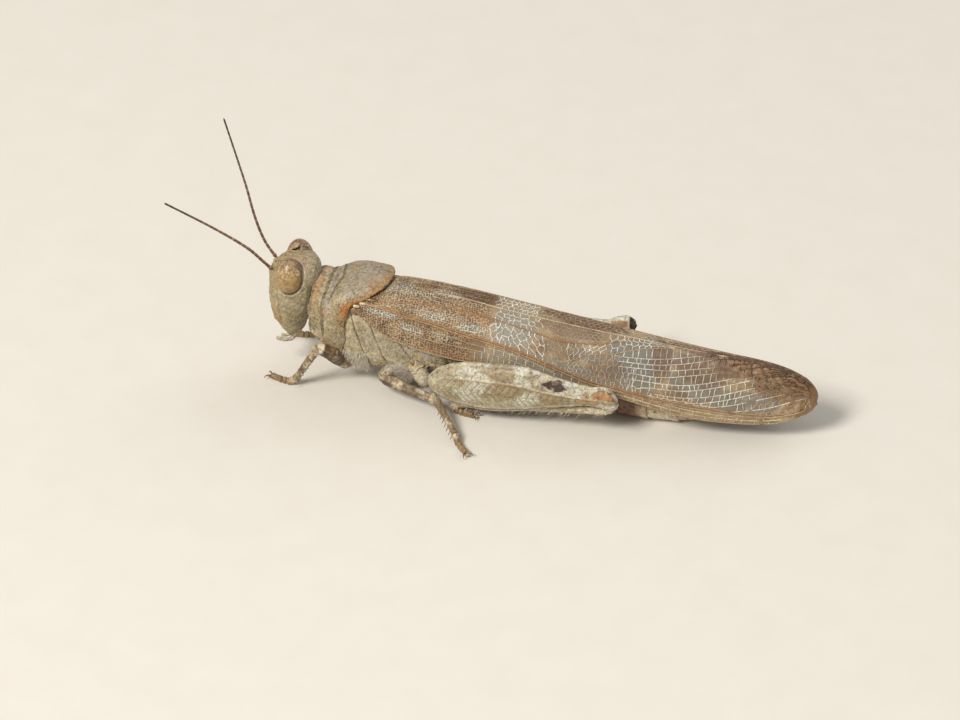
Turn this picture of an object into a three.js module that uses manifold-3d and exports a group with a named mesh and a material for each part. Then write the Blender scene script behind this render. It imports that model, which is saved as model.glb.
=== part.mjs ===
// A band-winged sand grasshopper at rest on flat ground, life size, in millimetres.
// While it is modelled, +X runs from the face to the wing tips, +Y to the animal's own right
// and +Z up from the floor, with x = 0 at the face. The exported group is then moved so that
// its origin lies on the floor under the middle of the whole model.

import * as THREE from "three";
import { mergeVertices } from "three/addons/utils/BufferGeometryUtils.js";
import Module from "manifold-3d";

const wasm = await Module();
wasm.setup();

// ---------------------------------------------------------------- driving dimensions

const GAP = 0.06; // clearance between neighbouring solids
const PLATE = 0.5; // thickness of the thin plates: pronotum and wings

const WING_TIP = { x: 31.9, out: 0.5, z: 2.6 };
const WING_ROUNDING_X = 27.6; // where the wing's outline starts to round off
const WING_BASE_X = 5.6;
const HINDWING = { start: 8.5, end: 30.6, thickness: 0.55 };

const EYE = { x: 1.5, out: 1.14, z: 6.53, halfLength: 0.74, halfHeight: 1.04, bulge: 0.74, lean: 0.24 };
const ANTENNA = { root: [0.75, 0.5, 6.1], rootRadius: 0.3, tipRadius: 0.25, steps: 12, sides: 6 };

const ABDOMEN = { start: 10.1, end: 25.9, rings: 8 };
const ABDOMEN_TIP_X = 24.0; // where the last, unringed piece starts

const SOLE_HEIGHT = 0.2; // height of a tarsus centreline over the floor
const TARSUS_RADIUS = 0.27;

// Each side's sign along Y, and how it differs from a perfect mirror image.
const SIDES = [
  {
    name: "left",
    sign: -1,
    antenna: [[-0.1, 0.8, 6.99], [-0.96, 1.1, 8.0], [-2.7, 1.6, 9.35], [-5.35, 2.4, 11.16]],
    hindKnee: [21.0, 3.3, 2.6],
    wingDrop: 0,
  },
  {
    name: "right",
    sign: 1,
    antenna: [[-0.5, 0.9, 7.2], [-1.21, 1.4, 8.39], [-1.97, 2.2, 10.03], [-3.7, 4.0, 13.1]],
    hindKnee: [20.5, 3.35, 3.35],
    wingDrop: 0.42, // the right wing lies under the left one and slopes away from it
  },
];

// Joints of the walking legs as [x, distance out from the midline, height].
const WALKING_LEGS = [
  {
    name: "fore",
    coxa: [4.75, 0.9, 2.2],
    hip: [5.05, 1.35, 1.25],
    knee: [3.55, 2.85, 3.1],
    ankle: [2.1, 2.5, 0.5],
    toe: [0.65, 2.2, SOLE_HEIGHT],
    femurRadius: 0.43,
  },
  {
    name: "mid",
    coxa: [6.9, 1.2, 1.95],
    hip: [6.95, 1.95, 0.9],
    knee: [10.5, 3.45, 1.3],
    ankle: [12.2, 5.55, 0.5],
    toe: [13.1, 6.75, SOLE_HEIGHT],
    femurRadius: 0.5,
  },
];
const TIBIA_RADIUS = 0.26;

const HIND_LEG = {
  coxa: [9.1, 1.3, 2.05],
  hip: [9.75, 2.3, 1.75],
  femurStart: [10.0, 2.85, 1.95],
  tibiaStart: [20.35, 3.0, 1.75], // just below the knee, where the folded shin begins
  ankle: [11.3, 2.75, 0.52],
  toe: [12.6, 3.15, SOLE_HEIGHT],
  tibiaRadius: 0.27,
};

// ---------------------------------------------------------------- materials

const finish = (color, roughness = 0.7) =>
  new THREE.MeshStandardMaterial({ color, roughness, metalness: 0 });
const MATERIAL = {
  cuticle: finish(0xa5977c),
  eye: finish(0xa98e62, 0.35),
  antenna: finish(0x6b4a33),
  pleura: finish(0x938b76),
  abdomen: finish(0xb9a27c),
  wing: finish(0x8d7766, 0.5),
  hindwing: finish(0x9b9486, 0.4),
  leg: finish(0xab9c80),
  femur: finish(0xc3b692),
};

// ---------------------------------------------------------------- helpers for shapes

const { abs, atan2, cos, hypot, max, min, PI, pow, sign, sin, sqrt } = Math;
const mix = (a, b, t) => a + (b - a) * t;

// A smooth function through rows of [position, value, value, ...]; it returns the values.
function through(rows) {
  const slope = (i, k) => {
    const a = rows[max(i - 1, 0)];
    const b = rows[min(i + 1, rows.length - 1)];
    return (b[k] - a[k]) / (b[0] - a[0]);
  };
  return (position) => {
    const x = min(max(position, rows[0][0]), rows.at(-1)[0]);
    let i = 0;
    while (i < rows.length - 2 && x > rows[i + 1][0]) i++;
    const span = rows[i + 1][0] - rows[i][0];
    const t = (x - rows[i][0]) / span;
    const rise = t * t * (3 - 2 * t);
    return rows[i].slice(1).map((value, j) => {
      const k = j + 1;
      const start = span * slope(i, k) * t * (1 - t) * (1 - t);
      const end = span * slope(i + 1, k) * t * t * (t - 1);
      return mix(value, rows[i + 1][k], rise) + start + end;
    });
  };
}

// Removes everything but positions, welds the seams and gives each vertex a new place.
function reshape(geometry, place) {
  geometry.deleteAttribute("normal");
  geometry.deleteAttribute("uv");
  const welded = mergeVertices(geometry, 1e-5);
  const positions = welded.getAttribute("position");
  const vertex = new THREE.Vector3();
  for (let i = 0; i < positions.count; i++) {
    vertex.fromBufferAttribute(positions, i);
    const moved = place(vertex);
    positions.setXYZ(i, moved.x, moved.y, moved.z);
  }
  return welded;
}

// A closed tube: place(t, angle, rim) puts its skin (rim 1) and its cap centres (rim 0).
function closedTube(along, around, place) {
  return reshape(new THREE.CylinderGeometry(1, 1, 1, around, along), (v) =>
    place(v.y + 0.5, atan2(v.z, v.x), min(1, hypot(v.x, v.z))),
  );
}

// A point on a rounded box section: 2 is an ellipse, larger numbers are squarer.
function superellipse(angle, halfWidth, halfHeight, squareness = 2) {
  const power = 2 / squareness;
  return [
    sign(cos(angle)) * pow(abs(cos(angle)), power) * halfWidth,
    sign(sin(angle)) * pow(abs(sin(angle)), power) * halfHeight,
  ];
}

// A tube along a curve, upright where it can be, with half sizes (side, up) given by size(t).
function limb(curve, size, { along = 8, around = 8, squareness = 2, hint = new THREE.Vector3(0, 0, 1) } = {}) {
  return closedTube(along, around, (t, angle, rim) => {
    const centre = curve.getPointAt(t);
    const forward = curve.getTangentAt(t);
    const side = new THREE.Vector3().crossVectors(forward, hint).normalize();
    const up = new THREE.Vector3().crossVectors(side, forward);
    const [halfSide, halfUp] = size(t);
    const [a, b] = superellipse(angle, halfSide * rim, halfUp * rim, squareness);
    return centre.addScaledVector(side, a).addScaledVector(up, b);
  });
}

const straight = (from, to) => new THREE.LineCurve3(from, to);
const smooth = (...points) => new THREE.CatmullRomCurve3(points);

// How far a rounded end has opened at t, for an end that takes up `share` of the length.
const roundedEnds = (t, share) => {
  const fromEnd = min(t, 1 - t) / share;
  return fromEnd >= 1 ? 1 : sqrt(max(0.04, 1 - (1 - fromEnd) ** 2));
};

function toSolid(geometry) {
  const solid = new wasm.Manifold(
    new wasm.Mesh({
      numProp: 3,
      vertProperties: new Float32Array(geometry.getAttribute("position").array),
      triVerts: new Uint32Array(geometry.index.array),
    }),
  );
  if (solid.volume() > 0) return solid;
  const flipped = geometry.clone();
  const index = flipped.index.array;
  for (let i = 0; i < index.length; i += 3) [index[i + 1], index[i + 2]] = [index[i + 2], index[i + 1]];
  return toSolid(flipped);
}

function toGeometry(solid) {
  const { numProp, vertProperties, triVerts } = solid.getMesh();
  const positions = new Float32Array((vertProperties.length / numProp) * 3);
  for (let i = 0; i < positions.length / 3; i++) {
    positions.set(vertProperties.subarray(i * numProp, i * numProp + 3), i * 3);
  }
  const geometry = new THREE.BufferGeometry();
  geometry.setAttribute("position", new THREE.BufferAttribute(positions, 3));
  geometry.setIndex(new THREE.BufferAttribute(new Uint32Array(triVerts), 1));
  geometry.computeVertexNormals();
  return geometry;
}

const less = (solid, ...others) => others.flat().reduce((rest, other) => rest.subtract(other), solid);

function block(from, to) {
  const size = to.clone().sub(from);
  const box = new THREE.BoxGeometry(size.x, size.y, size.z);
  box.translate(...from.clone().add(to).multiplyScalar(0.5).toArray());
  return toSolid(reshape(box, (v) => v));
}

// The largest closed piece of a solid, without the crumbs that a cut can leave.
function mainPiece(solid) {
  return solid.decompose().reduce((a, b) => (a.volume() > b.volume() ? a : b));
}

const BELOW_FLOOR = block(new THREE.Vector3(-20, -20, -5), new THREE.Vector3(50, 20, 0));

const group = new THREE.Group();

function addPart(name, solid, material) {
  const mesh = new THREE.Mesh(toGeometry(mainPiece(solid)), material);
  mesh.name = name;
  group.add(mesh);
}

const at = (side, [x, out, z]) => new THREE.Vector3(x, side.sign * out, z);

// ---------------------------------------------------------------- head

// Height, centre x, half depth and half width of the head capsule, from mouth to crown.
const headAt = through([
  [2.35, 1.35, 0.45, 0.55],
  [2.8, 1.32, 0.78, 0.95],
  [3.5, 1.32, 1.02, 1.35],
  [4.5, 1.44, 1.3, 1.6],
  [5.5, 1.53, 1.42, 1.6],
  [6.5, 1.62, 1.36, 1.42],
  [7.1, 1.7, 1.1, 1.15],
  [7.5, 1.8, 0.5, 0.55],
]);

function headSolid(grow = 0) {
  return toSolid(
    closedTube(11, 16, (t, angle, rim) => {
      const z = mix(2.35, 7.5, t);
      const [centre, halfDepth, halfWidth] = headAt(z);
      const [a, b] = superellipse(angle, (halfDepth + grow) * rim, (halfWidth + grow) * rim, 2.3);
      return new THREE.Vector3(centre + a, b, z + (t > 0.5 ? grow : -grow));
    }),
  );
}

function eyeSolid(side, grow = 0) {
  const ball = new THREE.SphereGeometry(1, 12, 9);
  const leaning = new THREE.Matrix4().makeRotationX(side.sign * EYE.lean);
  return toSolid(
    reshape(ball, (v) =>
      new THREE.Vector3(
        v.x * (EYE.halfLength + grow),
        v.z * (EYE.bulge + grow),
        v.y * (EYE.halfHeight + grow),
      )
        .applyMatrix4(leaning)
        .add(at(side, [EYE.x, EYE.out, EYE.z])),
    ),
  );
}

function antennaSolid(side) {
  const path = smooth(...[ANTENNA.root, ...side.antenna].map((point) => at(side, point)));
  return toSolid(
    limb(path, (t) => Array(2).fill(mix(ANTENNA.rootRadius, ANTENNA.tipRadius, t)), {
      along: ANTENNA.steps,
      around: ANTENNA.sides,
    }),
  );
}

// Labrum, jaws and lips as one blunt block under the head capsule.
function mouthSolid() {
  const path = straight(new THREE.Vector3(1.25, 0, 3.1), new THREE.Vector3(1.65, 0, 1.8));
  return toSolid(
    limb(path, (t) => [mix(0.95, 0.5, t * t), mix(0.8, 0.42, t * t)], {
      along: 4,
      around: 12,
      hint: new THREE.Vector3(-1, 0, 0),
    }),
  );
}

// ---------------------------------------------------------------- trunk

// x, centre height, half width and half height of the flesh inside the pronotum.
const prothoraxAt = through([
  [3.0, 4.3, 1.35, 1.75],
  [3.6, 4.1, 1.55, 2.0],
  [4.6, 3.85, 1.7, 2.2],
  [5.1, 3.8, 1.7, 2.2],
]);

function prothoraxSolid(grow = 0) {
  return toSolid(
    closedTube(5, 14, (t, angle, rim) => {
      const x = mix(3.0 - grow, 5.1 + grow, t);
      const [centre, halfWidth, halfHeight] = prothoraxAt(x);
      const [a, b] = superellipse(angle, (halfWidth + grow) * rim, (halfHeight + grow) * rim, 2.4);
      return new THREE.Vector3(x, a, centre + b);
    }),
  );
}

function neckSolid(grow = 0) {
  const path = straight(new THREE.Vector3(1.9, 0, 4.7), new THREE.Vector3(3.3, 0, 4.6));
  return toSolid(limb(path, () => [1.05 + grow, 1.25 + grow], { along: 2, around: 12 }));
}

// x, height of the back, half width, height of the lower edge and hind overhang of the
// pronotum: a narrow, furrowed front half, then a broad shield over the wing bases.
const pronotumAt = through([
  [2.75, 6.12, 1.78, 3.3],
  [3.3, 6.08, 1.86, 3.1],
  [4.0, 6.05, 1.92, 2.85],
  [4.8, 6.36, 2.12, 2.65],
  [5.6, 6.64, 2.25, 2.65],
  [6.4, 6.74, 2.2, 2.65],
  [7.25, 6.7, 2.0, 2.65],
]);

// The hind margin: the lobes end early, the shield runs back to a rounded point.
function pronotumHindX(out, z) {
  const shield = 7.25 - 0.21 * out ** 3;
  const lobe = 4.95 + 0.28 * max(0, z - 4.5);
  const onBack = min(1, max(0, (z - 5.35) / 0.8));
  return mix(lobe, max(lobe, shield), onBack * onBack * (3 - 2 * onBack));
}

function pronotumSolid(inner) {
  const shell = closedTube(11, 20, (t, angle, rim) => {
    const start = 2.75;
    const probe = mix(start, 7.25, t);
    const [back, halfWidth, low] = pronotumAt(probe);
    const centre = (back + low) / 2;
    const [a, b] = superellipse(angle, halfWidth * rim, ((back - low) / 2) * rim, 2.6);
    const hind = pronotumHindX(abs(a), centre + b);
    return new THREE.Vector3(mix(start, hind, t), a, centre + b);
  });
  return less(toSolid(shell), inner);
}

// x, centre height, half width and half height of the wing-bearing thorax.
const thoraxAt = through([
  [5.2, 3.5, 1.75, 2.3],
  [6.2, 3.35, 2.05, 2.4],
  [8.0, 3.3, 2.15, 2.35],
  [9.4, 3.25, 2.1, 2.2],
  [10.9, 3.15, 1.9, 2.0],
]);

function thoraxSolid(grow = 0) {
  return toSolid(
    closedTube(7, 18, (t, angle, rim) => {
      const x = mix(5.2 - grow, 10.9 + grow, t);
      const [centre, halfWidth, halfHeight] = thoraxAt(x);
      const end = roundedEnds(t, 0.1);
      const [a, b] = superellipse(
        angle,
        (halfWidth * mix(0.8, 1, end) + grow) * rim,
        (halfHeight * mix(0.8, 1, end) + grow) * rim,
        2.7,
      );
      const keel = 1 - 0.14 * max(0, -b / halfHeight) ** 2; // narrower towards the breastplate
      return new THREE.Vector3(x, a * keel, centre + b);
    }),
  );
}

// x, centre height, half width and half height of the abdomen, drooping to the floor.
const abdomenAt = through([
  [10.1, 3.0, 1.8, 1.95],
  [14.0, 2.6, 1.95, 1.9],
  [18.0, 1.92, 1.92, 1.68],
  [21.0, 1.4, 1.85, 1.45],
  [24.2, 1.0, 1.35, 1.06],
  [25.3, 0.95, 0.9, 0.85],
  [25.9, 0.95, 0.4, 0.4],
]);

function abdomenSolid(from, to, grow = 0, along = 2) {
  return toSolid(
    closedTube(along, 14, (t, angle, rim) => {
      const x = mix(from, to, t);
      const [centre, halfWidth, halfHeight] = abdomenAt(x);
      const [a, b] = superellipse(angle, (halfWidth + grow) * rim, (halfHeight + grow) * rim);
      return new THREE.Vector3(x, a, centre + b);
    }),
  );
}

// ---------------------------------------------------------------- wings

// x, ridge height, shoulder (distance out, height), lower edge (distance out, height).
const wingAt = through([
  [5.6, 5.95, 1.5, 5.85, 2.1, 5.35],
  [6.4, 6.25, 1.55, 6.2, 2.35, 4.85],
  [8.0, 6.65, 1.5, 6.6, 2.45, 4.0],
  [11.0, 6.5, 1.45, 6.3, 2.5, 3.4],
  [15.0, 6.05, 1.3, 5.9, 2.5, 3.25],
  [20.0, 5.4, 1.05, 5.25, 2.35, 2.4],
  [25.0, 4.85, 0.75, 4.7, 2.05, 1.35],
  [29.0, 4.6, 0.5, 4.45, 1.5, 1.1],
  [32.1, 4.5, 0.4, 4.3, 1.2, 1.1],
]);

// How wide open the wing's section still is at x: 1 along the wing, closing at its tip.
function wingOpening(x) {
  const past = max(0, (x - WING_ROUNDING_X) / (WING_TIP.x - WING_ROUNDING_X));
  return sqrt(max(0.01, 1 - past * past));
}

// The folded forewing's section at x, from the ridge on the back (t = 0), over the shoulder,
// to the lower edge (t = 1), with the direction into the wing's thickness.
function wingSection(x, t) {
  const [ridge, shoulderOut, shoulderZ, edgeOut, edgeZ] = wingAt(x);
  const open = wingOpening(x);
  const [a, b, c] = [(1 - t) * (1 - t), 2 * t * (1 - t), t * t];
  const fullOut = a * 0.04 + b * shoulderOut * 1.25 + c * edgeOut;
  const fullZ = a * ridge + b * (shoulderZ + 0.15) + c * edgeZ;
  const out = mix(mix(0.04, WING_TIP.out, t), fullOut, open);
  const z = mix(WING_TIP.z, fullZ, open);
  const core = { out: -0.6, z: mix(ridge, edgeZ, 0.8) - 1 };
  const distance = hypot(core.out - out, core.z - z);
  return { out, z, inward: { out: (core.out - out) / distance, z: (core.z - z) / distance } };
}

function forewingSolid(side, grow = 0) {
  const sheet = new THREE.BoxGeometry(1, 1, 1, 17, 7, 1);
  return toSolid(
    reshape(sheet, (v) => {
      const u = v.x + 0.5;
      const x = mix(WING_BASE_X, WING_TIP.x, sin((u * PI) / 2) * 0.6 + u * 0.4);
      const t = v.y + 0.5;
      const { out, z, inward } = wingSection(x, t);
      const drop = side.wingDrop * wingOpening(x) * sqrt(max(0, sin(PI * t)));
      const depth = v.z > 0 ? -grow : PLATE + grow;
      const inner = max(0.04 - grow, out + inward.out * depth);
      return new THREE.Vector3(x, side.sign * inner, z - drop + inward.z * depth);
    }),
  );
}

// The hind wing is folded like a fan into a thin blade under its forewing.
function hindwingSolid(side) {
  const blade = new THREE.BoxGeometry(1, 1, 1, 9, 1, 1);
  return toSolid(
    reshape(blade, (v) => {
      const u = v.x + 0.5;
      const x = mix(HINDWING.start, HINDWING.end, u);
      const [ridge] = wingAt(x);
      const top = ridge - PLATE - 0.12;
      const depth = mix(1.5, 1.9, u) * roundedEnds(max(0.5, u), 0.3);
      const z = top - (0.5 - v.z) * depth - 0.25 * u;
      const out = 0.05 + (v.y + 0.5) * HINDWING.thickness;
      return new THREE.Vector3(x, side.sign * out, z);
    }),
  );
}

// ---------------------------------------------------------------- legs

function coxaSolid(side, from, to, radius) {
  const path = straight(at(side, from), at(side, to));
  return toSolid(
    limb(path, (t) => Array(2).fill(radius * roundedEnds(mix(0.1, 0.9, t), 0.4)), { along: 4, around: 7 }),
  );
}

function walkingFemur(side, leg) {
  const path = straight(at(side, leg.hip), at(side, leg.knee));
  const thick = (t) => leg.femurRadius * mix(1.05, 0.8, t) * roundedEnds(mix(0.02, 0.98, t), 0.12);
  return toSolid(limb(path, (t) => [thick(t) * 0.8, thick(t)], { along: 6, around: 8 }));
}

function tibiaSolid(from, to, radius, grow = 0) {
  const thick = (t) => radius * mix(1.05, 0.92, t) * roundedEnds(mix(0.03, 0.97, t), 0.06) + grow;
  return toSolid(limb(straight(from, to), (t) => [thick(t), thick(t)], { along: 5, around: 7 }));
}

// Three foot joints and a claw in one piece, with a flat sole on the floor.
function tarsusSolid(ankle, toe) {
  const heel = ankle.clone().lerp(toe, 0.3);
  heel.z = SOLE_HEIGHT;
  const thick = (t) => TARSUS_RADIUS * mix(1, 0.93, t) * (1 - 0.12 * abs(sin(3 * PI * t)));
  const foot = limb(smooth(ankle, heel, toe), (t) => [thick(t), thick(t)], { along: 7, around: 7 });
  return toSolid(foot).subtract(BELOW_FLOOR);
}

// Share of the length, half depth and half thickness of the jumping thigh.
const hindFemurAt = through([
  [0, 0.3, 0.22],
  [0.05, 0.82, 0.4],
  [0.16, 1.3, 0.58],
  [0.32, 1.45, 0.66],
  [0.5, 1.2, 0.6],
  [0.68, 0.74, 0.46],
  [0.84, 0.42, 0.36],
  [0.92, 0.46, 0.4],
  [0.97, 0.5, 0.4],
  [1, 0.3, 0.26],
]);

function hindFemur(side, grow = 0) {
  const path = straight(at(side, HIND_LEG.femurStart), at(side, side.hindKnee));
  const lean = new THREE.Vector3(0, side.sign * -0.16, 1).normalize();
  return toSolid(
    limb(path, (t) => hindFemurAt(t).reverse().map((half) => half + grow), {
      along: 16,
      around: 10,
      squareness: 1.8,
      hint: lean,
    }),
  );
}

const hindTibiaStart = (side) => {
  const knee = at(side, side.hindKnee);
  return at(side, HIND_LEG.tibiaStart).setZ(knee.z - 0.9).setX(knee.x - 0.65);
};

// ---------------------------------------------------------------- assembly

const forewings = SIDES.map((side) => forewingSolid(side));
const forewingRoom = SIDES.map((side) => forewingSolid(side, GAP));
const hindFemora = SIDES.map((side) => hindFemur(side));
const hindFemurRoom = SIDES.map((side) => hindFemur(side, GAP));
const eyeRoom = SIDES.map((side) => eyeSolid(side, GAP));
const headRoom = headSolid(GAP);
const thoraxRoom = thoraxSolid(GAP);
const prothoraxRoom = prothoraxSolid(GAP);
const neckRoom = neckSolid(GAP);

const head = less(headSolid(), eyeRoom);
const thorax = less(thoraxSolid(), prothoraxRoom, forewingRoom, hindFemurRoom);
addPart("head", head, MATERIAL.cuticle);
addPart("mouthparts", less(mouthSolid(), headRoom), MATERIAL.cuticle);
addPart("neck", less(neckSolid(), headRoom, prothoraxRoom), MATERIAL.pleura);
addPart("prothorax", prothoraxSolid(), MATERIAL.pleura);
addPart(
  "pronotum",
  pronotumSolid([headRoom, neckRoom, prothoraxRoom, thoraxRoom, ...forewingRoom]),
  MATERIAL.cuticle,
);
addPart("thorax", thorax, MATERIAL.pleura);

// The abdomen is parted into rings by thin cuts, with the lobed tip as its last piece.
const trunkRoom = [thoraxRoom, ...forewingRoom, ...hindFemurRoom, BELOW_FLOOR];
const ringLength = (ABDOMEN_TIP_X - ABDOMEN.start) / ABDOMEN.rings;
for (let ring = 0; ring < ABDOMEN.rings; ring++) {
  const from = ABDOMEN.start + ring * ringLength;
  const solid = abdomenSolid(from, from + ringLength - GAP);
  addPart(`abdomen_${ring + 1}`, less(solid, trunkRoom), MATERIAL.abdomen);
}
const abdomenTip = abdomenSolid(ABDOMEN_TIP_X, ABDOMEN.end, 0, 6);
addPart("abdomen_tip", less(abdomenTip, trunkRoom), MATERIAL.abdomen);

const abdomenRoom = abdomenSolid(ABDOMEN.start - 0.5, ABDOMEN.end, GAP, 14);

SIDES.forEach((side, i) => {
  addPart(`eye_${side.name}`, eyeSolid(side), MATERIAL.eye);
  addPart(`antenna_${side.name}`, less(antennaSolid(side), headRoom, eyeRoom), MATERIAL.antenna);
  addPart(`forewing_${side.name}`, forewings[i], MATERIAL.wing);
  addPart(
    `hindwing_${side.name}`,
    less(hindwingSolid(side), forewingRoom, thoraxRoom, abdomenRoom),
    MATERIAL.hindwing,
  );

  for (const leg of WALKING_LEGS) {
    const label = `${leg.name}_${side.name}`;
    const [knee, ankle, toe] = [leg.knee, leg.ankle, leg.toe].map((joint) => at(side, joint));
    const femur = walkingFemur(side, leg);
    const bodyRoom = [prothoraxRoom, thoraxRoom];
    const shinStart = knee.clone().lerp(ankle, 0.17);
    const shinEnd = ankle.clone().lerp(knee, 0.03);
    addPart(`coxa_${label}`, less(coxaSolid(side, leg.coxa, leg.hip, 0.5), bodyRoom, femurRoom(side, leg)), MATERIAL.leg);
    addPart(`femur_${label}`, less(femur, bodyRoom), MATERIAL.leg);
    addPart(`tibia_${label}`, tibiaSolid(shinStart, shinEnd, TIBIA_RADIUS), MATERIAL.leg);
    addPart(
      `tarsus_${label}`,
      less(tarsusSolid(ankle, toe), tibiaSolid(shinStart, shinEnd, TIBIA_RADIUS, GAP)),
      MATERIAL.leg,
    );
  }

  const label = `hind_${side.name}`;
  const [ankle, toe] = [at(side, HIND_LEG.ankle), at(side, HIND_LEG.toe)];
  const shinRoom = tibiaSolid(hindTibiaStart(side), ankle, HIND_LEG.tibiaRadius, GAP);
  const foot = tarsusSolid(ankle, toe);
  addPart(`femur_${label}`, less(hindFemora[i], shinRoom, forewingRoom), MATERIAL.femur);
  addPart(
    `coxa_${label}`,
    less(coxaSolid(side, HIND_LEG.coxa, HIND_LEG.hip, 0.62), thoraxRoom, abdomenRoom, hindFemurRoom),
    MATERIAL.leg,
  );
  addPart(`tibia_${label}`, tibiaSolid(hindTibiaStart(side), ankle, HIND_LEG.tibiaRadius), MATERIAL.leg);
  addPart(`tarsus_${label}`, less(foot, shinRoom, hindFemurRoom), MATERIAL.leg);
});

// The space that a walking thigh needs, as a slightly fatter copy of it.
function femurRoom(side, leg) {
  return walkingFemur(side, { ...leg, femurRadius: leg.femurRadius + 1.3 * GAP });
}

// ---------------------------------------------------------------- origin on the floor

const box = new THREE.Box3().setFromObject(group);
group.children.forEach((mesh) =>
  mesh.geometry.translate(-(box.min.x + box.max.x) / 2, -(box.min.y + box.max.y) / 2, -box.min.z),
);

export default group;
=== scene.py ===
# %% [markdown]
# # A sand grasshopper at rest, finished as a museum model
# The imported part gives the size, the pose and the name of every body part. This lesson gives each part
# its real surface: hard plates of cuticle with seams between them, compound eyes, netted wings, spined
# shins and fine hair. An insect has no skin that stretches over everything. It is a suit of armour, so
# each plate stays its own piece, and the work lies in the seams, the pits and the colour patches that
# hide the animal on sand.

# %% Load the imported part
import math
import random

import bpy
import bmesh
import numpy as np
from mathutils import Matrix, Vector, noise


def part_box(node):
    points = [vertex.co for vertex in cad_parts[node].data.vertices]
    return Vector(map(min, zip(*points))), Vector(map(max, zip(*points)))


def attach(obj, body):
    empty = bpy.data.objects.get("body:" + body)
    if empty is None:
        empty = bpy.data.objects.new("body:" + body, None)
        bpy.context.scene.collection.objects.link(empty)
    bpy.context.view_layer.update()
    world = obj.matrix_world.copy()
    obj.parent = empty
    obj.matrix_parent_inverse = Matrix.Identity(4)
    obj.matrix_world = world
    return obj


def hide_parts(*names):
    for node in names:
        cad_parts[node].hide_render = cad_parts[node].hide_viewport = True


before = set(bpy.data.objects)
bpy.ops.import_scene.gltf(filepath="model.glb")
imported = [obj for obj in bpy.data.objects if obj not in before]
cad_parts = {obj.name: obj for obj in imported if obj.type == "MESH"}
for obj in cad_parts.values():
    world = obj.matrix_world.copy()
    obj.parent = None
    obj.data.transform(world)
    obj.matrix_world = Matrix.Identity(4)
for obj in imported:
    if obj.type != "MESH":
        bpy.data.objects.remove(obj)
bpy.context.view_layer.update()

MM = 0.001
SIDES = [("left", -1), ("right", 1)]

# %% [markdown]
# ## Measuring in the animal's own millimetres
# An insect is easiest to think about in millimetres, with x = 0 at the face, x growing towards the wing
# tips and z = 0 on the floor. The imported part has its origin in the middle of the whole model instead.
# The left eye is in both, so the distance between its two places is the shift from one measure to the
# other. Nothing is fitted by eye.

# %% Shift from the animal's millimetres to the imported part's metres
EYE_CENTRE = np.array([1.5, -1.14, 6.53])
eye_low, eye_high = (np.array(corner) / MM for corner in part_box("eye_left"))
SHIFT = (eye_low + eye_high) / 2 - EYE_CENTRE
print("shift in mm:", SHIFT.round(3))


def to_frame(points):
    return (np.asarray(points, float) + SHIFT) * MM


# %% [markdown]
# ## Numbers that turn into shapes
# Every plate here is a skin stretched over ribs. A rib is a rounded section, and a table says how wide,
# how high and where it is at a few places along the body. A smooth curve through each column of the
# table fills in the rest. Sculpting by hand could give the same forms, but it would bury the sizes, and
# here they can be read and changed.

# %% Smooth curves through a table
def through(rows):
    """A smooth function through rows of [position, value, value, ...]. It gives one array for each value."""
    rows = np.array(rows, float)
    x, y = rows[:, 0], rows[:, 1:]
    before = np.maximum(np.arange(len(x)) - 1, 0)
    after = np.minimum(np.arange(len(x)) + 1, len(x) - 1)
    slope = (y[after] - y[before]) / (x[after] - x[before])[:, None]

    def values(position):
        p = np.clip(np.asarray(position, float), x[0], x[-1])
        i = np.clip(np.searchsorted(x, p, side="left") - 1, 0, len(x) - 2)
        span = (x[i + 1] - x[i])[..., None]
        t = (p - x[i])[..., None] / span
        rise = t * t * (3 - 2 * t)
        leave = span * slope[i] * t * (1 - t) ** 2
        arrive = span * slope[i + 1] * t * t * (t - 1)
        return np.moveaxis(y[i] * (1 - rise) + y[i + 1] * rise + leave + arrive, -1, 0)

    return values


def unit(v):
    return v / np.maximum(np.linalg.norm(v, axis=-1, keepdims=True), 1e-9)


def curve(points, count):
    """Evenly spaced places along a smooth line through the points, and the direction at each."""
    points = np.array(points, float)
    steps = np.r_[0, np.cumsum(np.linalg.norm(np.diff(points, axis=0), axis=1))]
    fine = np.stack(through(np.c_[steps, points])(np.linspace(0, steps[-1], 200)), 1)
    run = np.r_[0, np.cumsum(np.linalg.norm(np.diff(fine, axis=0), axis=1))]
    at = np.linspace(0, run[-1], count)
    places = np.stack([np.interp(at, run, fine[:, k]) for k in range(3)], 1)
    return places, unit(np.gradient(places, axis=0))


print("half way along a bent line:", curve([[0, 0, 0], [1, 0, 1], [2, 0, 0]], 3)[0][1].round(2))

# %% [markdown]
# ### Soft edges, bumps and noise
# Relief and colour patches are sums of a few small functions of place. A soft step goes from 0 to 1
# between two values, a window rises and falls again, a hump is a rounded bump and grain is smooth
# noise. Painted masks would do as well, but these functions stay sharp at any mesh size and need no
# image.

# %% Soft edges, bumps and noise
def mix(a, b, t):
    return a + (b - a) * t


def soft_step(x, start, end):
    t = np.clip((np.asarray(x, float) - start) / (end - start), 0, 1)
    return t * t * (3 - 2 * t)


def window(x, start, full, fading, end):
    """0 before start, 1 from full to fading, and 0 again after end."""
    return soft_step(x, start, full) * soft_step(x, end, fading)


def hump(x, centre, width):
    return np.exp(-(((np.asarray(x, float) - centre) / width) ** 2))


def grain(points, size, seed=0):
    """Smooth noise from about -1 to 1, with bumps about `size` mm apart."""
    points = np.asarray(points, float)
    flat = points.reshape(-1, 3) / size + seed * 7.3
    return np.array([noise.noise(Vector(p)) for p in flat]).reshape(points.shape[:-1]) * 1.6


def clouds(points, size, seed, low, high):
    """Cloudy patches from 0 to 1, where the grain passes from low to high."""
    return soft_step(grain(points, size, seed), low, high)


print("half way between 0 and 1 a soft step is", float(soft_step(0.5, 0, 1)))

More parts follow.
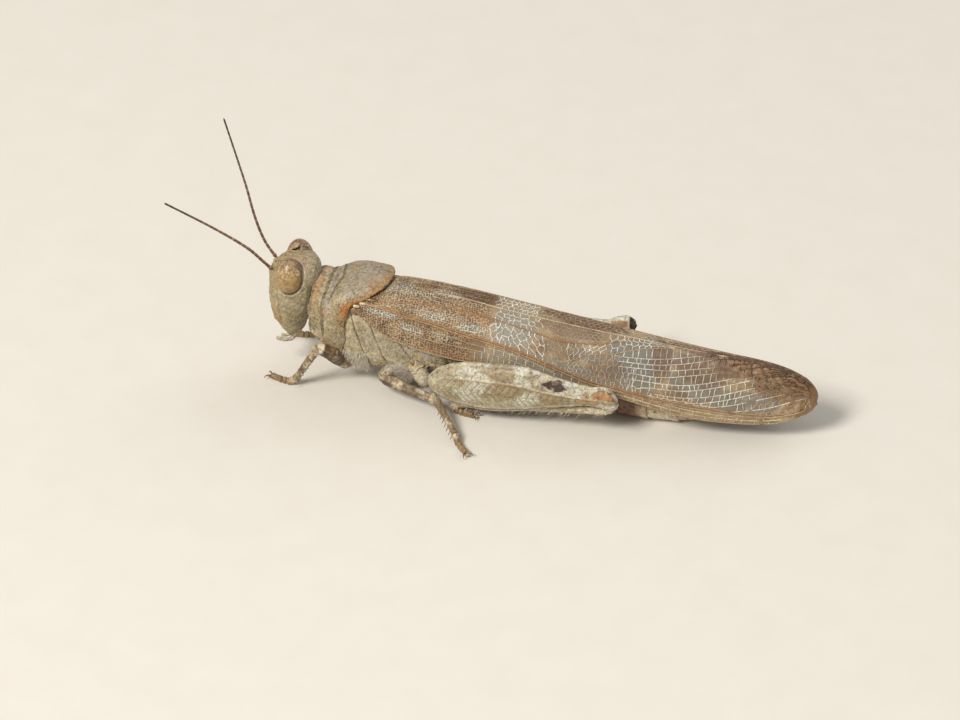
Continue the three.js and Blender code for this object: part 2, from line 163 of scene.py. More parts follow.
# %% [markdown]
# ## From a grid of points to a closed skin
# Blender can loft with curves and modifiers, but relief such as a seam or a ridge has to follow the
# body's own directions, so the skins are made as grids of points: rows along the body, columns round
# it. Relief pushes a grid along its own normals. A grid that runs all the way round becomes a closed
# tube, and an open one becomes a thin plate with a back and a rim. With each grid go masks, numbers
# from 0 to 1 at each point that later tell the material where the animal is pale, warm or dark.

# %% Grids
def oval(angle, half_side, half_up, square=2.0):
    """A rounded section: 2 is an ellipse and larger numbers are squarer."""
    c, s = np.cos(angle), np.sin(angle)
    power = 2 / square
    return np.sign(c) * abs(c) ** power * half_side, np.sign(s) * abs(s) ** power * half_up


def lay_out(along, around):
    """Shares along (0 to 1) and angles round for a grid."""
    turns = np.linspace(0, 2 * math.pi, around, endpoint=False)
    return np.meshgrid(np.linspace(0, 1, along), turns, indexing="ij")


def closing(t, share=0.1, least=0.12):
    """How open a rounded end is at t: 1 in the middle and nearly shut at both ends."""
    past = np.clip(1 - np.minimum(t, 1 - t) / share, 0, 1)
    return np.sqrt(np.maximum(least**2, 1 - past**2))


def limb(points, size, along=40, around=20, square=2.0, hint=(0, 0, 1)):
    """A grid round a smooth line. size(t) gives the half sizes across and up; angle 90 degrees is up."""
    places, ways = curve(points, along)
    across = unit(np.cross(ways, np.array(hint, float)))
    up = np.cross(across, ways)
    t, angle = lay_out(along, around)
    half_side, half_up = (np.broadcast_to(h, along)[:, None] for h in size(np.linspace(0, 1, along)))
    a, b = oval(angle, half_side, half_up, square)
    return places[:, None] + across[:, None] * a[..., None] + up[:, None] * b[..., None], t, angle


def normals(grid, closed=True):
    around = np.roll(grid, -1, 1) - np.roll(grid, 1, 1) if closed else np.gradient(grid, axis=1)
    return unit(np.cross(np.gradient(grid, axis=0), around))


def raised(grid, height):
    """The closed grid, pushed outwards by height mm."""
    n = normals(grid)
    outwards = np.sign(((grid - grid.mean(axis=1, keepdims=True)) * n).sum())
    return grid + n * outwards * np.asarray(height)[..., None]


def above_floor(grid, gap):
    """The grid with everything below `gap` mm lifted to that height."""
    return np.maximum(grid, [-np.inf, -np.inf, gap])


print("a closed end opens to", closing(0.0).round(2), "of its width")


# %% Closed meshes
class Shape:
    """Points in the animal's mm, faces, masks, and each point's spot on the map for baking."""

    def __init__(self, points, faces, masks, spots=None):
        self.points = np.asarray(points, float).reshape(-1, 3)
        self.faces = faces
        self.masks = {name: np.asarray(value, float).reshape(-1) for name, value in masks.items()}
        self.spots = spots


def joined(*shapes):
    names = {name for shape in shapes for name in shape.masks}
    parts = {name: [s.masks.get(name, np.zeros(len(s.points))) for s in shapes] for name in names}
    masks = {name: np.concatenate(part) for name, part in parts.items()}
    faces, start = [], 0
    for shape in shapes:
        faces += [tuple(i + start for i in face) for face in shape.faces]
        start += len(shape.points)
    mapped = all(shape.spots is not None for shape in shapes)
    spots = np.concatenate([shape.spots for shape in shapes]) if mapped else None
    return Shape(np.concatenate([shape.points for shape in shapes]), faces, masks, spots)


def tube(grid, **masks):
    """A closed skin over a grid whose columns run all the way round, with its two ends filled."""
    rows, columns = grid.shape[:2]
    index = np.arange(rows * columns).reshape(rows, columns)
    nxt = np.roll(index, -1, axis=1)
    quads = np.stack([index[:-1], nxt[:-1], nxt[1:], index[1:]], -1).reshape(-1, 4)
    faces = [tuple(q) for q in quads.tolist()]
    for k, row in enumerate((0, -1)):
        middle = rows * columns + k
        faces += [(int(a), int(b), middle) for a, b in zip(index[row], nxt[row])]
    points = np.r_[grid.reshape(-1, 3), [grid[0].mean(0), grid[-1].mean(0)]]
    spread = {name: np.broadcast_to(value, grid.shape[:2]) for name, value in masks.items()}
    full = {name: np.r_[value.ravel(), value[0].mean(), value[-1].mean()] for name, value in spread.items()}
    return Shape(points, faces, full)


def plate(grid, thickness, sign, spots=None, **masks):
    """A thin closed plate: the open grid is its outside, and its back lies `thickness` mm further in."""
    rows, columns = grid.shape[:2]
    back = grid - normals(grid, False) * sign * thickness
    index = np.arange(rows * columns).reshape(rows, columns)
    quads = np.stack([index[:-1, :-1], index[:-1, 1:], index[1:, 1:], index[1:, :-1]], -1).reshape(-1, 4)
    behind = quads[:, ::-1] + rows * columns
    rim = np.r_[index[0], index[1:, -1], index[-1, -2::-1], index[-2:0:-1, 0]]
    after = np.roll(rim, -1)
    edge = np.stack([rim, rim + rows * columns, after + rows * columns, after], -1)
    faces = [tuple(f) for f in np.concatenate([quads, behind, edge]).tolist()]
    spread = {name: np.broadcast_to(value, (rows, columns)) for name, value in masks.items()}
    full = {name: np.tile(value.ravel(), 2) for name, value in spread.items()}
    if spots is not None:
        spots = np.tile(spots.reshape(-1, 2), (2, 1))
    return Shape(np.r_[grid.reshape(-1, 3), back.reshape(-1, 3)], faces, full, spots)


corners = np.array([[[0, 0, 0], [0, 1, 0]], [[1, 0, 0], [1, 1, 0]]], float)
print("a plate of four corners has", len(plate(corners, 0.1, 1).faces), "faces")

# %% [markdown]
# ## Making the Blender objects
# One function turns a shape into an object: it writes the masks as attributes and any map for baking,
# turns the faces outwards, sets smooth shading, gives the piece its finish, hangs it under the root and
# hides the imported parts that it stands for. Doing this in one place keeps a forgotten step from
# leaving one piece out of the frame.

# %% Shape to object
made = []


def make(name, shape, finish, slot, *nodes):
    mesh = bpy.data.meshes.new(name)
    mesh.from_pydata(to_frame(shape.points).tolist(), [], shape.faces)
    for mask, values in sorted(shape.masks.items()):
        mesh.attributes.new(mask, "FLOAT", "POINT").data.foreach_set("value", values.astype(np.float32))
    mesh.materials.append(finish)
    mesh.polygons.foreach_set("use_smooth", [True] * len(mesh.polygons))
    if shape.spots is not None:
        corners = np.zeros(len(mesh.loops), int)
        mesh.loops.foreach_get("vertex_index", corners)
        flat = shape.spots[corners].ravel().astype(np.float32)
        mesh.uv_layers.new(name="OFBake").data.foreach_set("uv", flat)
    work = bmesh.new()
    work.from_mesh(mesh)
    bmesh.ops.recalc_face_normals(work, faces=work.faces)
    work.to_mesh(mesh)
    work.free()
    piece = bpy.data.objects.new(name, mesh)
    bpy.context.scene.collection.objects.link(piece)
    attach(piece, "root")
    if nodes:
        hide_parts(*nodes)
    made.append((name, len(mesh.polygons)))


print("pieces so far:", len(made))

# %% [markdown]
# ## The finish of insect cuticle
# Cuticle is layered chitin, hardened where it is armour. On this animal it is matt and dusty: ground
# colours of sand and clay, clouded with a second tone, peppered with dark pits and covered with a fine
# wax bloom that dulls the shine. Its refractive index is about 1.56. All its plates share one recipe of
# layers: cloud, masks, pepper, mottle, bloom. Painting would need image files, so noise and cell
# patterns do it, with each scale given in millimetres. The real pits and wax grains are a few
# hundredths of a millimetre wide and would vanish at this distance, so the pits are drawn 0.15 to 0.19
# mm apart and the grain at 0.11 mm, as coarse as they need to show.

# %% Colours and nodes
def tone(code):
    """An sRGB hex colour as the linear colour that the shader wants."""
    parts = [int(code[i : i + 2], 16) / 255 for i in (0, 2, 4)]
    return [p / 12.92 if p <= 0.04045 else ((p + 0.055) / 1.055) ** 2.4 for p in parts] + [1.0]


def per(size_mm):
    """Scale of a pattern whose features are size_mm apart, for coordinates in metres."""
    return 1 / (size_mm * MM)


def between(low, high, to_low=0.0, to_high=1.0):
    """Settings that stretch the values from low to high over a new range."""
    return {"From Min": low, "From Max": high, "To Min": to_low, "To Max": to_high}


def add(tree, kind, inputs=(), **settings):
    """Adds a node, sets it up and links or fills its sockets."""
    node = tree.nodes.new("ShaderNode" + kind)
    for key, value in settings.items():
        setattr(node, key, value)
    for key, value in dict(inputs).items():
        if isinstance(value, bpy.types.NodeSocket):
            tree.links.new(value, node.inputs[key])
        else:
            node.inputs[key].default_value = value
    return node


def blank(name):
    """A new material, its node tree and the place on the surface, in metres."""
    material = bpy.data.materials.new(name)
    material.use_nodes = True
    return material, material.node_tree, add(material.node_tree, "TexCoord").outputs["Object"]


print("a sand tone in linear numbers:", [round(part, 3) for part in tone("A99C7C")])

# %% The steps that every finish shares
CHITIN_IOR = 1.56
NOISE_MIDDLE = (0.3, 0.7)  # nearly all of a noise pattern lies between these values


def painted(tree, colour, fine, layers, thin):
    """Lays each (mask, colour, strength) over the colour, thinned where the fine noise is low."""
    broken = add(tree, "MapRange", {"Value": fine, **between(*NOISE_MIDDLE, thin, 1.25)}).outputs[0]
    for mask, hue, strength in layers:
        drawn = add(tree, "Attribute", attribute_name=mask).outputs["Fac"]
        part = add(tree, "Math", {0: drawn, 1: broken}, operation="MULTIPLY").outputs[0]
        held = add(tree, "Math", {0: part, 1: strength}, operation="MULTIPLY", use_clamp=True).outputs[0]
        colour = add(tree, "Mix", {0: held, 6: colour, 7: tone(hue)}, data_type="RGBA").outputs[2]
    return colour


def surfaced(tree, colour, fine, height, bloom, rough, bump, depth_mm, coat, coat_rough):
    """Ends a finish with its wax bloom, roughness, bump and a thin coat."""
    shader = tree.nodes["Principled BSDF"]
    dust = add(tree, "MapRange", {"Value": fine, **between(*NOISE_MIDDLE, *bloom)}).outputs[0]
    dusty = add(tree, "VectorMath", {0: colour, "Scale": dust}, operation="SCALE").outputs[0]
    uneven = between(*NOISE_MIDDLE, rough - 0.1, rough + 0.1)
    gloss = add(tree, "MapRange", {"Value": fine, **uneven}).outputs[0]
    relief = add(tree, "Bump", {"Height": height, "Strength": bump, "Distance": depth_mm * MM}).outputs[0]
    for socket, value in (("Base Color", dusty), ("Roughness", gloss), ("Normal", relief)):
        tree.links.new(value, shader.inputs[socket])
    for socket, value in (("IOR", CHITIN_IOR), ("Coat Weight", coat), ("Coat Roughness", coat_rough)):
        shader.inputs[socket].default_value = value


# %% The recipe of all hardened cuticle
def cuticle(name, ground, cloud, layers, cloud_mm=1.1, mottle_mm=0.26, grain_mm=0.11, pit_mm=0.16, pits=0.5,
            pit_tone="4E4030", depth_mm=0.028, rough=0.6, coat=0.0, coat_rough=0.3):
    """Hardened cuticle. layers are (mask, colour, strength), laid over the ground in turn."""
    material, tree, place = blank(name)
    noises = [(cloud_mm, 6.0, 0.68), (mottle_mm, 4.0, 0.7), (grain_mm, 3.0, 0.6)]
    settings = [{"Scale": per(mm), "Detail": detail, "Roughness": sharp} for mm, detail, sharp in noises]
    cloudy, mottle, fine = (
        add(tree, "TexNoise", {"Vector": place, **each}).outputs["Fac"] for each in settings
    )
    cells = add(tree, "TexVoronoi", {"Vector": place, "Scale": per(pit_mm), "Randomness": 0.9})
    cells = cells.outputs["Distance"]
    share = add(tree, "MapRange", {"Value": cloudy, **between(0.36, 0.64)}).outputs[0]
    colour = add(tree, "Mix", {0: share, 6: tone(ground), 7: tone(cloud)}, data_type="RGBA").outputs[2]
    colour = painted(tree, colour, fine, layers, 0.55)
    # pits, in patches
    pit = add(tree, "MapRange", {"Value": cells, **between(0.34, 0.16)}).outputs[0]
    patchy = add(tree, "MapRange", {"Value": cloudy, **between(0.42, 0.6, 0.25, 1.0)}).outputs[0]
    shown = add(tree, "Math", {0: pit, 1: patchy}, operation="MULTIPLY").outputs[0]
    spot = add(tree, "Math", {0: shown, 1: pits}, operation="MULTIPLY").outputs[0]
    colour = add(tree, "Mix", {0: spot, 6: colour, 7: tone(pit_tone)}, data_type="RGBA").outputs[2]
    # mottle: the hue and the value wander a little
    tint = add(tree, "MapRange", {"Value": mottle, **between(0.35, 0.65, 0.48, 0.515)}).outputs[0]
    light = add(tree, "MapRange", {"Value": mottle, **between(0.35, 0.65, 0.8, 1.2)}).outputs[0]
    colour = add(tree, "HueSaturation", {"Hue": tint, "Value": light, "Color": colour}).outputs[0]
    height = add(tree, "Math", {0: fine, 1: pit}, operation="SUBTRACT").outputs[0]
    surfaced(tree, colour, fine, height, (0.66, 1.26), rough, 0.7, depth_mm, coat, coat_rough)
    return material


print("cuticle bends light like", CHITIN_IOR, "against 1.33 for water")

# %% [markdown]
# ## Forewings: where they lie
# At rest the two leathery forewings fold along the back like a roof. Each one starts narrow at the
# hinge, is creased along its strongest veins and ends in a rounded tip. A flat sheet bent with
# modifiers would not keep the veins in their creases, so a place on a wing has two numbers: x in mm,
# and t, which runs from 0 on the ridge of the back to 1 at the lower edge. The ribs give a curved
# section at each x, and the left wing runs on past the ridge, over the right one.

# %% The folded wing's surface
WING_ROOT = 5.6
TIP_X = {-1: 31.75, 1: 31.3}  # the right wing lies below and ends a little earlier
TIP = {"out": 0.5, "z": 2.55, "rounding": 27.6}
ROOF_DROP = 0.42
wing_ribs = through([
    # x, ridge height, shoulder out, shoulder height, edge out, edge height
    [WING_ROOT, 5.95, 1.5, 5.85, 2.1, 5.35],
    [6.4, 6.25, 1.55, 6.2, 2.35, 4.85],
    [8.0, 6.65, 1.5, 6.6, 2.45, 4.0],
    [11.0, 6.5, 1.45, 6.3, 2.5, 3.4],
    [15.0, 6.05, 1.3, 5.9, 2.5, 3.25],
    [20.0, 5.4, 1.05, 5.25, 2.35, 2.4],
    [25.0, 4.8, 0.75, 4.65, 2.05, 1.35],
    [29.0, 4.47, 0.5, 4.35, 1.5, 1.2],
    [32.1, 4.4, 0.4, 4.2, 1.2, 1.45],
])


def wing_sheet(x, t, side):
    """Points of the smooth folded wing, before creases."""
    x, t = np.broadcast_arrays(np.asarray(x, float), np.asarray(t, float))
    ridge, shoulder_out, shoulder_z, edge_out, edge_z = wing_ribs(x)
    a, b, c = (1 - t) ** 2, 2 * t * (1 - t), t * t
    past = np.clip((x - TIP["rounding"]) / (TIP_X[side] - TIP["rounding"]), 0, 1)
    opened = np.sqrt(np.maximum(0.002, 1 - past**2.5))
    out = mix(mix(0.04, TIP["out"], t), 0.04 * a + 1.25 * shoulder_out * b + edge_out * c, opened)
    z = mix(TIP["z"], ridge * a + (shoulder_z + 0.15) * b + edge_z * c, opened)
    if side > 0:
        z = z - ROOF_DROP * opened * np.sqrt(np.maximum(0, np.sin(math.pi * t)))
    return np.stack([x, side * out, z], -1)


print("the left wing's highest point, mm:", wing_sheet(8.0, 0.0, -1).round(2))


# %% Creases along the two strongest veins
def vein_line(rows):
    line = through(rows)
    return lambda x: line(x)[0]


anal = vein_line([
    [5.7, 0.52], [6.6, 0.42], [8.3, 0.32], [10.2, 0.2], [12, 0.2], [13.6, 0.23], [16.1, 0.24],
    [19, 0.22], [21.7, 0.18], [25.2, 0.15], [30.5, 0.1],
])
radial = vein_line([
    [5.6, 0.63], [6.6, 0.61], [8.7, 0.66], [10.5, 0.68], [12.9, 0.74], [14.6, 0.79], [16.4, 0.85],
    [17.9, 0.9], [19.4, 0.93], [22.4, 0.92], [25.3, 0.9], [28.2, 0.92], [29.7, 0.92], [31.6, 0.9],
])


def wing(x, t, side, lift=0.0):
    """Points on the creased wing, raised by lift mm. Creases fade out before the tip."""
    step = 0.01
    here = wing_sheet(x, t, side)
    along = wing_sheet(np.asarray(x) + step, t, side) - here
    n = unit(np.cross(along, wing_sheet(x, np.asarray(t) + step, side) - here))
    n = n * np.where(n[..., 2:] < 0, -1.0, 1.0)
    crease = 0.045 * np.exp(-12 * abs(t - anal(x))) + 0.08 * np.exp(-10 * abs(t - radial(x)))
    return here + n * (np.asarray(crease + lift) * soft_step(x, TIP_X[side], TIP_X[side] - 0.9))[..., None]


print("the radial vein at x = 20 mm lies at t =", float(radial(20.0).round(2)))

# %% [markdown]
# ## Forewings: the colour plan
# The wing is a camouflage net: a peppered base with rusty streaks, a white window a third of the way
# back, a brown band behind it, then clear cells and a brown tip. A painted map would need an image, so
# each patch is a soft ellipse in wing places, roughened by noise so that its border follows no ruler.
# The membrane and the veins ask the same plan for their colours, so a vein turns brown where it crosses
# a brown patch.

# %% Patches of the wing, as kind: (x, t, half length, half width, strength)
WING_PATCHES = {
    "brown": [
        (7.9, 0.12, 0.5, 0.09, 0.6), (9.3, 0.08, 0.8, 0.07, 0.7), (10.4, 0.3, 0.8, 0.05, 0.45),
        (12.3, 0.08, 1.5, 0.15, 0.95), (11.2, 0.93, 1.7, 0.09, 0.55), (12.5, 0.8, 0.7, 0.07, 0.7),
        (18.5, 0.03, 2.5, 0.2, 1.0), (17.9, 0.33, 2.2, 0.13, 0.72), (17.4, 0.63, 1.5, 0.14, 0.6),
        (19.9, 0.72, 1.1, 0.13, 0.55), (22.8, 0.42, 0.45, 0.3, 0.75), (24.0, 0.83, 0.8, 0.07, 0.6),
        (24.8, 0.12, 1.8, 0.14, 0.95), (9.3, 0.72, 1.2, 0.05, 0.35), (20.3, 0.75, 0.9, 0.1, 0.45),
        (25.4, 0.45, 1.8, 0.24, 0.8), (23.0, 0.38, 0.6, 0.32, 1.0),
    ],
    "amber": [
        (29.6, 0.2, 4.2, 0.34, 0.95), (30.4, 0.55, 2.4, 0.28, 0.9), (31.4, 0.5, 0.9, 0.7, 0.9),
        (26.9, 0.35, 1.2, 0.2, 0.55),
    ],
    "rust": [
        (7.4, 0.5, 1.2, 0.05, 0.5), (9.9, 0.43, 2.0, 0.045, 0.5), (12.1, 0.42, 1.5, 0.09, 0.85),
        (13.1, 0.47, 0.6, 0.12, 0.8), (10.9, 0.96, 2.0, 0.05, 0.5), (16.9, 0.5, 1.3, 0.05, 0.55),
        (8.6, 0.64, 2.8, 0.03, 0.55), (19.9, 0.86, 1.2, 0.04, 0.3), (24.0, 0.87, 1.2, 0.03, 0.35),
        (14.4, 0.74, 3.5, 0.03, 0.45),
    ],
    "white": [
        (7.0, 0.71, 0.9, 0.06, 0.8), (9.9, 0.58, 0.8, 0.05, 0.75), (12.2, 0.62, 0.9, 0.05, 0.85),
        (8.8, 0.8, 0.6, 0.05, 0.8), (10.6, 0.79, 0.5, 0.04, 0.5), (14.6, 0.08, 1.25, 0.24, 1.0),
        (14.4, 0.4, 1.2, 0.15, 0.75), (14.5, 0.62, 1.4, 0.14, 0.95), (15.2, 0.9, 2.4, 0.12, 0.75),
        (9.0, 0.27, 1.3, 0.05, 0.5), (11.0, 0.52, 0.9, 0.03, 0.5), (18.9, 0.64, 0.9, 0.06, 0.6),
        (7.9, 0.2, 1.0, 0.14, 0.55), (10.6, 0.16, 0.9, 0.07, 0.5),
    ],
    "clear": [
        (14.6, 0.5, 1.3, 0.3, 0.75), (16.8, 0.88, 4.2, 0.11, 0.7), (18.9, 0.64, 0.9, 0.08, 0.8),
        (21.6, 0.5, 1.7, 0.3, 1.0), (21.4, 0.78, 1.6, 0.13, 0.8), (24.9, 0.68, 1.6, 0.18, 0.7),
        (24.4, 0.36, 1.2, 0.14, 0.4), (27.6, 0.8, 2.3, 0.12, 0.7), (22.5, 0.14, 0.7, 0.12, 0.6),
    ],
}


def wing_patch(kind, x, t):
    """How strongly a patch kind shows at wing places, 0 to 1."""
    x, t = np.broadcast_arrays(np.asarray(x, float), np.asarray(t, float))
    ragged = 0.34 * grain(np.stack([x, t * 6, np.zeros_like(x)], -1), 0.5, seed=3)
    most = np.zeros_like(x)
    for centre_x, centre_t, half_x, half_t, strength in WING_PATCHES[kind]:
        away = ((x - centre_x) / half_x) ** 2 + ((t - centre_t) / half_t) ** 2
        most = np.maximum(most, strength * soft_step(1.15 - away + ragged, -0.1, 0.55))
    return most


def peppered(x, t):
    """The base of the wing, where the cells are tiny dark pits."""
    end = 13.1 - 0.8 * soft_step(t, 0.65, 0.8) + 0.3 * hump(t, 0.45, 0.1)
    return 1 - soft_step(x, end - 0.3, end + 0.35)


print("strength of the white window at its middle:", wing_patch("white", [14.6], [0.1]).round(2))

# %% [markdown]
# ## Forewings: the membrane's finish
# Wing membrane is two layers of clear cuticle pressed together, about 0.03 mm thick near the base and
# thinner at the tip. Over the dark body it looks grey, and its wrinkled surface catches long
# highlights. Real transparency would show the coarse inside of the model, so the membrane is opaque,
# takes the tone that it has over the body, and gets a thin smooth coat. In the base the cells shrink to
# pits in rows 0.14 mm apart, close to their real pitch, drawn from a cell pattern in wing places so
# that the rows follow the veins. The wrinkles are drawn at 0.1 mm, coarser than the real ones.

# %% Membrane
PIT_ROWS_MM = 0.14
MEMBRANE_LAYERS = [
    ("amber", "7B5A3A", 0.95), ("clear", "6B6C67", 0.95), ("brown", "644832", 0.92), ("rust", "967045", 0.8),
    ("white", "ABAA9F", 0.9),
]


def wing_membrane():
    """Clear wrinkled cuticle: greyish and softly glossy, with dark pits in its base."""
    material, tree, place = blank("wrinkled_wing_membrane")
    rows, ranks, zone, rusty = (add(tree, "Attribute", attribute_name=name).outputs["Fac"]
                                for name in ("row", "rank", "peppered", "rust"))
    wing_place = add(tree, "CombineXYZ", {0: rows, 1: ranks}).outputs[0]
    cloudy = add(tree, "TexNoise", {"Vector": place, "Scale": per(0.8), "Detail": 5.0, "Roughness": 0.65})
    fine = add(tree, "TexNoise", {"Vector": place, "Scale": per(0.1), "Detail": 3.0, "Roughness": 0.6})
    cells = add(tree, "TexVoronoi", {"Vector": wing_place, "Scale": 1 / PIT_ROWS_MM, "Randomness": 0.62},
                voronoi_dimensions="2D").outputs["Distance"]
    cloudy, fine = cloudy.outputs["Fac"], fine.outputs["Fac"]
    share = add(tree, "MapRange", {"Value": cloudy, **between(0.38, 0.62)}).outputs[0]
    colour = add(tree, "Mix", {0: share, 6: tone("A6906F"), 7: tone("856E52")}, data_type="RGBA").outputs[2]
    colour = painted(tree, colour, fine, MEMBRANE_LAYERS, 0.6)
    # pits: dark, in patches, and weaker on the rusty streaks
    pit = add(tree, "MapRange", {"Value": cells, **between(0.39, 0.22)}).outputs[0]
    pitted = add(tree, "Math", {0: pit, 1: zone}, operation="MULTIPLY").outputs[0]
    patchy = add(tree, "MapRange", {"Value": cloudy, **between(0.4, 0.6, 0.4, 1.0)}).outputs[0]
    sharp = add(tree, "MapRange", {"Value": rusty, **between(0, 1, 1.0, 0.6)}).outputs[0]
    held = add(tree, "Math", {0: patchy, 1: sharp}, operation="MULTIPLY").outputs[0]
    spot = add(tree, "Math", {0: pitted, 1: held}, operation="MULTIPLY").outputs[0]
    colour = add(tree, "Mix", {0: spot, 6: colour, 7: tone("2E1C0C")}, data_type="RGBA").outputs[2]
    # pale walls between the pits
    wall = add(tree, "MapRange", {"Value": cells, **between(0.42, 0.62)}).outputs[0]
    walled = add(tree, "Math", {0: wall, 1: zone}, operation="MULTIPLY").outputs[0]
    edge = add(tree, "MapRange", {"Value": walled, **between(0, 1, 1.0, 1.3)}).outputs[0]
    colour = add(tree, "VectorMath", {0: colour, "Scale": edge}, operation="SCALE").outputs[0]
    height = add(tree, "Math", {0: fine, 1: pitted}, operation="SUBTRACT").outputs[0]
    surfaced(tree, colour, fine, height, (0.72, 1.2), 0.48, 0.8, 0.03, 0.08, 0.3)
    return material


membrane = wing_membrane()
# Veins are thicker tanned tubes, worn smooth, so they glint where the membrane is dull.
vein_chitin = cuticle(
    "polished_vein_cuticle", "AA9673", "937D5C",
    [("rust", "9A7044", 0.92), ("brown", "8A6D52", 0.85), ("cream", "CDBB92", 0.85), ("pale", "E3E5DE", 0.97),
     ("amber", "4A3322", 0.95)],
    pits=0.0, cloud_mm=0.5, grain_mm=0.07, rough=0.42, coat=0.25, coat_rough=0.2,
)
print("finishes of the wing:", membrane.name, vein_chitin.name)

# %% [markdown]
# ## Forewings: the net of veins
# Veins are hollow tubes that stiffen the membrane and carry blood. A few strong ones run the wing's
# length, finer ones fan out behind the middle, and cross-veins tie them into cells of 0.3 to 0.5 mm.
# Where a cross-vein meets a long vein it pulls a kink in it, which turns rectangles into a natural net.
# A bump map would look flat from the side, so each vein is a slim closed tube that lies half sunk in
# the membrane, and the net stands out from the surface as it does on the animal.

# %% One vein, and how the colour plan tints it
VEIN_COLUMNS = 5
VEIN_PROUD = 0.2  # how far a vein's axis stands above the membrane, as a share of its radius
MAP_LENGTH = 36  # mm of wing or body along one side of the map for baking


def vein(xs, ts, side, radius, pale=0.0, cream=0.0, rust=0.0):
    xs, ts = np.asarray(xs, float), np.asarray(ts, float)
    line = wing(xs, ts, side, radius * VEIN_PROUD)
    n = unit(wing(xs, ts, side, 1.0) - wing(xs, ts, side))
    across = unit(np.cross(np.gradient(line, axis=0), n))
    angle = np.linspace(0, 2 * math.pi, VEIN_COLUMNS, endpoint=False) + math.pi / 2
    thick = np.broadcast_to(radius, len(xs))[:, None, None]
    ring = across[:, None] * np.cos(angle)[:, None] + n[:, None] * np.sin(angle)[:, None]
    x, t = xs[:, None], ts[:, None]
    rust = rust * (1 - 0.55 * soft_step(x, 20.5, 24.5))  # the rusty tint fades towards the tip
    brown, amber = wing_patch("brown", x, t), wing_patch("amber", x, t) * soft_step(t, 0.8, 0.55)
    shape = tube(
        line[:, None] + thick * ring,
        brown=brown * (1 - rust),
        amber=amber * (1.2 - 0.8 * rust),
        rust=np.maximum(rust, wing_patch("rust", x, t) * (1 - cream)),
        pale=pale * (1 - 0.45 * brown) * (1 - 0.9 * amber),
        cream=cream * (1 - 0.6 * brown),
    )
    spots = np.stack([xs / MAP_LENGTH, 0.1 + ts * 0.8], -1)[:, None]
    spots = spots + 0.0006 * np.stack([np.cos(angle), np.sin(angle)], -1)
    shape.spots = np.clip(np.r_[spots.reshape(-1, 2), [spots[0, 0]], [spots[-1, 0]]], 0, 1)
    return shape


def long_vein(line, start, end, side, radius, **look):
    end = min(end, TIP_X[side] - 0.3)
    xs = np.arange(start, end, 0.16)
    taper = radius * (0.55 + 0.45 * soft_step(np.minimum(xs - start, end - xs), -0.1, 1.2))
    return vein(xs, line(xs), side, taper, **look)


print("a vein has", VEIN_COLUMNS, "columns")

# %% The strong veins, traced as (x, t)
media = vein_line([
    [6.2, 0.55], [7.4, 0.51], [8.6, 0.47], [9.8, 0.42], [10.9, 0.4], [13.8, 0.45], [15.8, 0.51], [17.2, 0.54],
    [19.1, 0.47], [19.9, 0.4], [21.3, 0.24],
])
subcosta = vein_line([
    [6.0, 0.72], [6.7, 0.8], [8.8, 0.86], [11.1, 0.86], [12.8, 0.87], [14.6, 0.91], [16.2, 0.955],
    [18.2, 0.995],
])
between_veins = vein_line([[11.8, 0.8], [12.8, 0.81], [14, 0.83], [15.8, 0.88], [17.4, 0.945]])
sector = vein_line([
    [17.4, 0.8], [18.1, 0.74], [18.6, 0.67], [19.2, 0.61], [20.2, 0.55], [21.8, 0.37], [23.5, 0.22],
    [24.6, 0.165],
])
FAN = [
    [[20.4, 0.56], [22.2, 0.5], [23.8, 0.39], [25.7, 0.19], [26.3, 0.15]],
    [[20.6, 0.62], [22.3, 0.57], [23.3, 0.52], [24.7, 0.41], [26.4, 0.22], [27.3, 0.14]],
    [[20.7, 0.68], [22.3, 0.63], [23.4, 0.59], [24.8, 0.5], [26.6, 0.36], [28.2, 0.17]],
    [[21.2, 0.73], [23.0, 0.69], [24.7, 0.59], [26.0, 0.5], [27.6, 0.36], [29.2, 0.16]],
    [[21.4, 0.79], [24.0, 0.73], [25.4, 0.66], [27.0, 0.54], [28.4, 0.41], [30.0, 0.2]],
    [[22.2, 0.83], [24.2, 0.78], [25.3, 0.73], [26.7, 0.64], [28.2, 0.51], [30.6, 0.24]],
    [[22.8, 0.87], [24.4, 0.84], [25.9, 0.78], [27.1, 0.71], [28.9, 0.57], [31.1, 0.3]],
    [[24.6, 0.88], [25.8, 0.84], [27.2, 0.77], [28.6, 0.67], [30.0, 0.53], [31.4, 0.38]],
    [[25.6, 0.89], [27.1, 0.84], [28.2, 0.78], [29.6, 0.69], [31.0, 0.55], [31.6, 0.47]],
    [[27.0, 0.9], [28.9, 0.85], [30.0, 0.79], [31.0, 0.7], [31.7, 0.6]],
]


def straight(t):
    return lambda x: t + 0 * np.asarray(x, float)


def vein_lines(side):
    """Every long line of one wing by name. The left wing starts a little past the ridge."""
    fan = {f"fan{k}": vein_line(rows) for k, rows in enumerate(FAN)}
    top = straight(-0.075 if side < 0 else 0.02)
    return {"top": top, "anal": anal, "media": media, "sector": sector, **fan, "radial": radial,
            "between": between_veins, "subcosta": subcosta, "low": straight(0.995)}


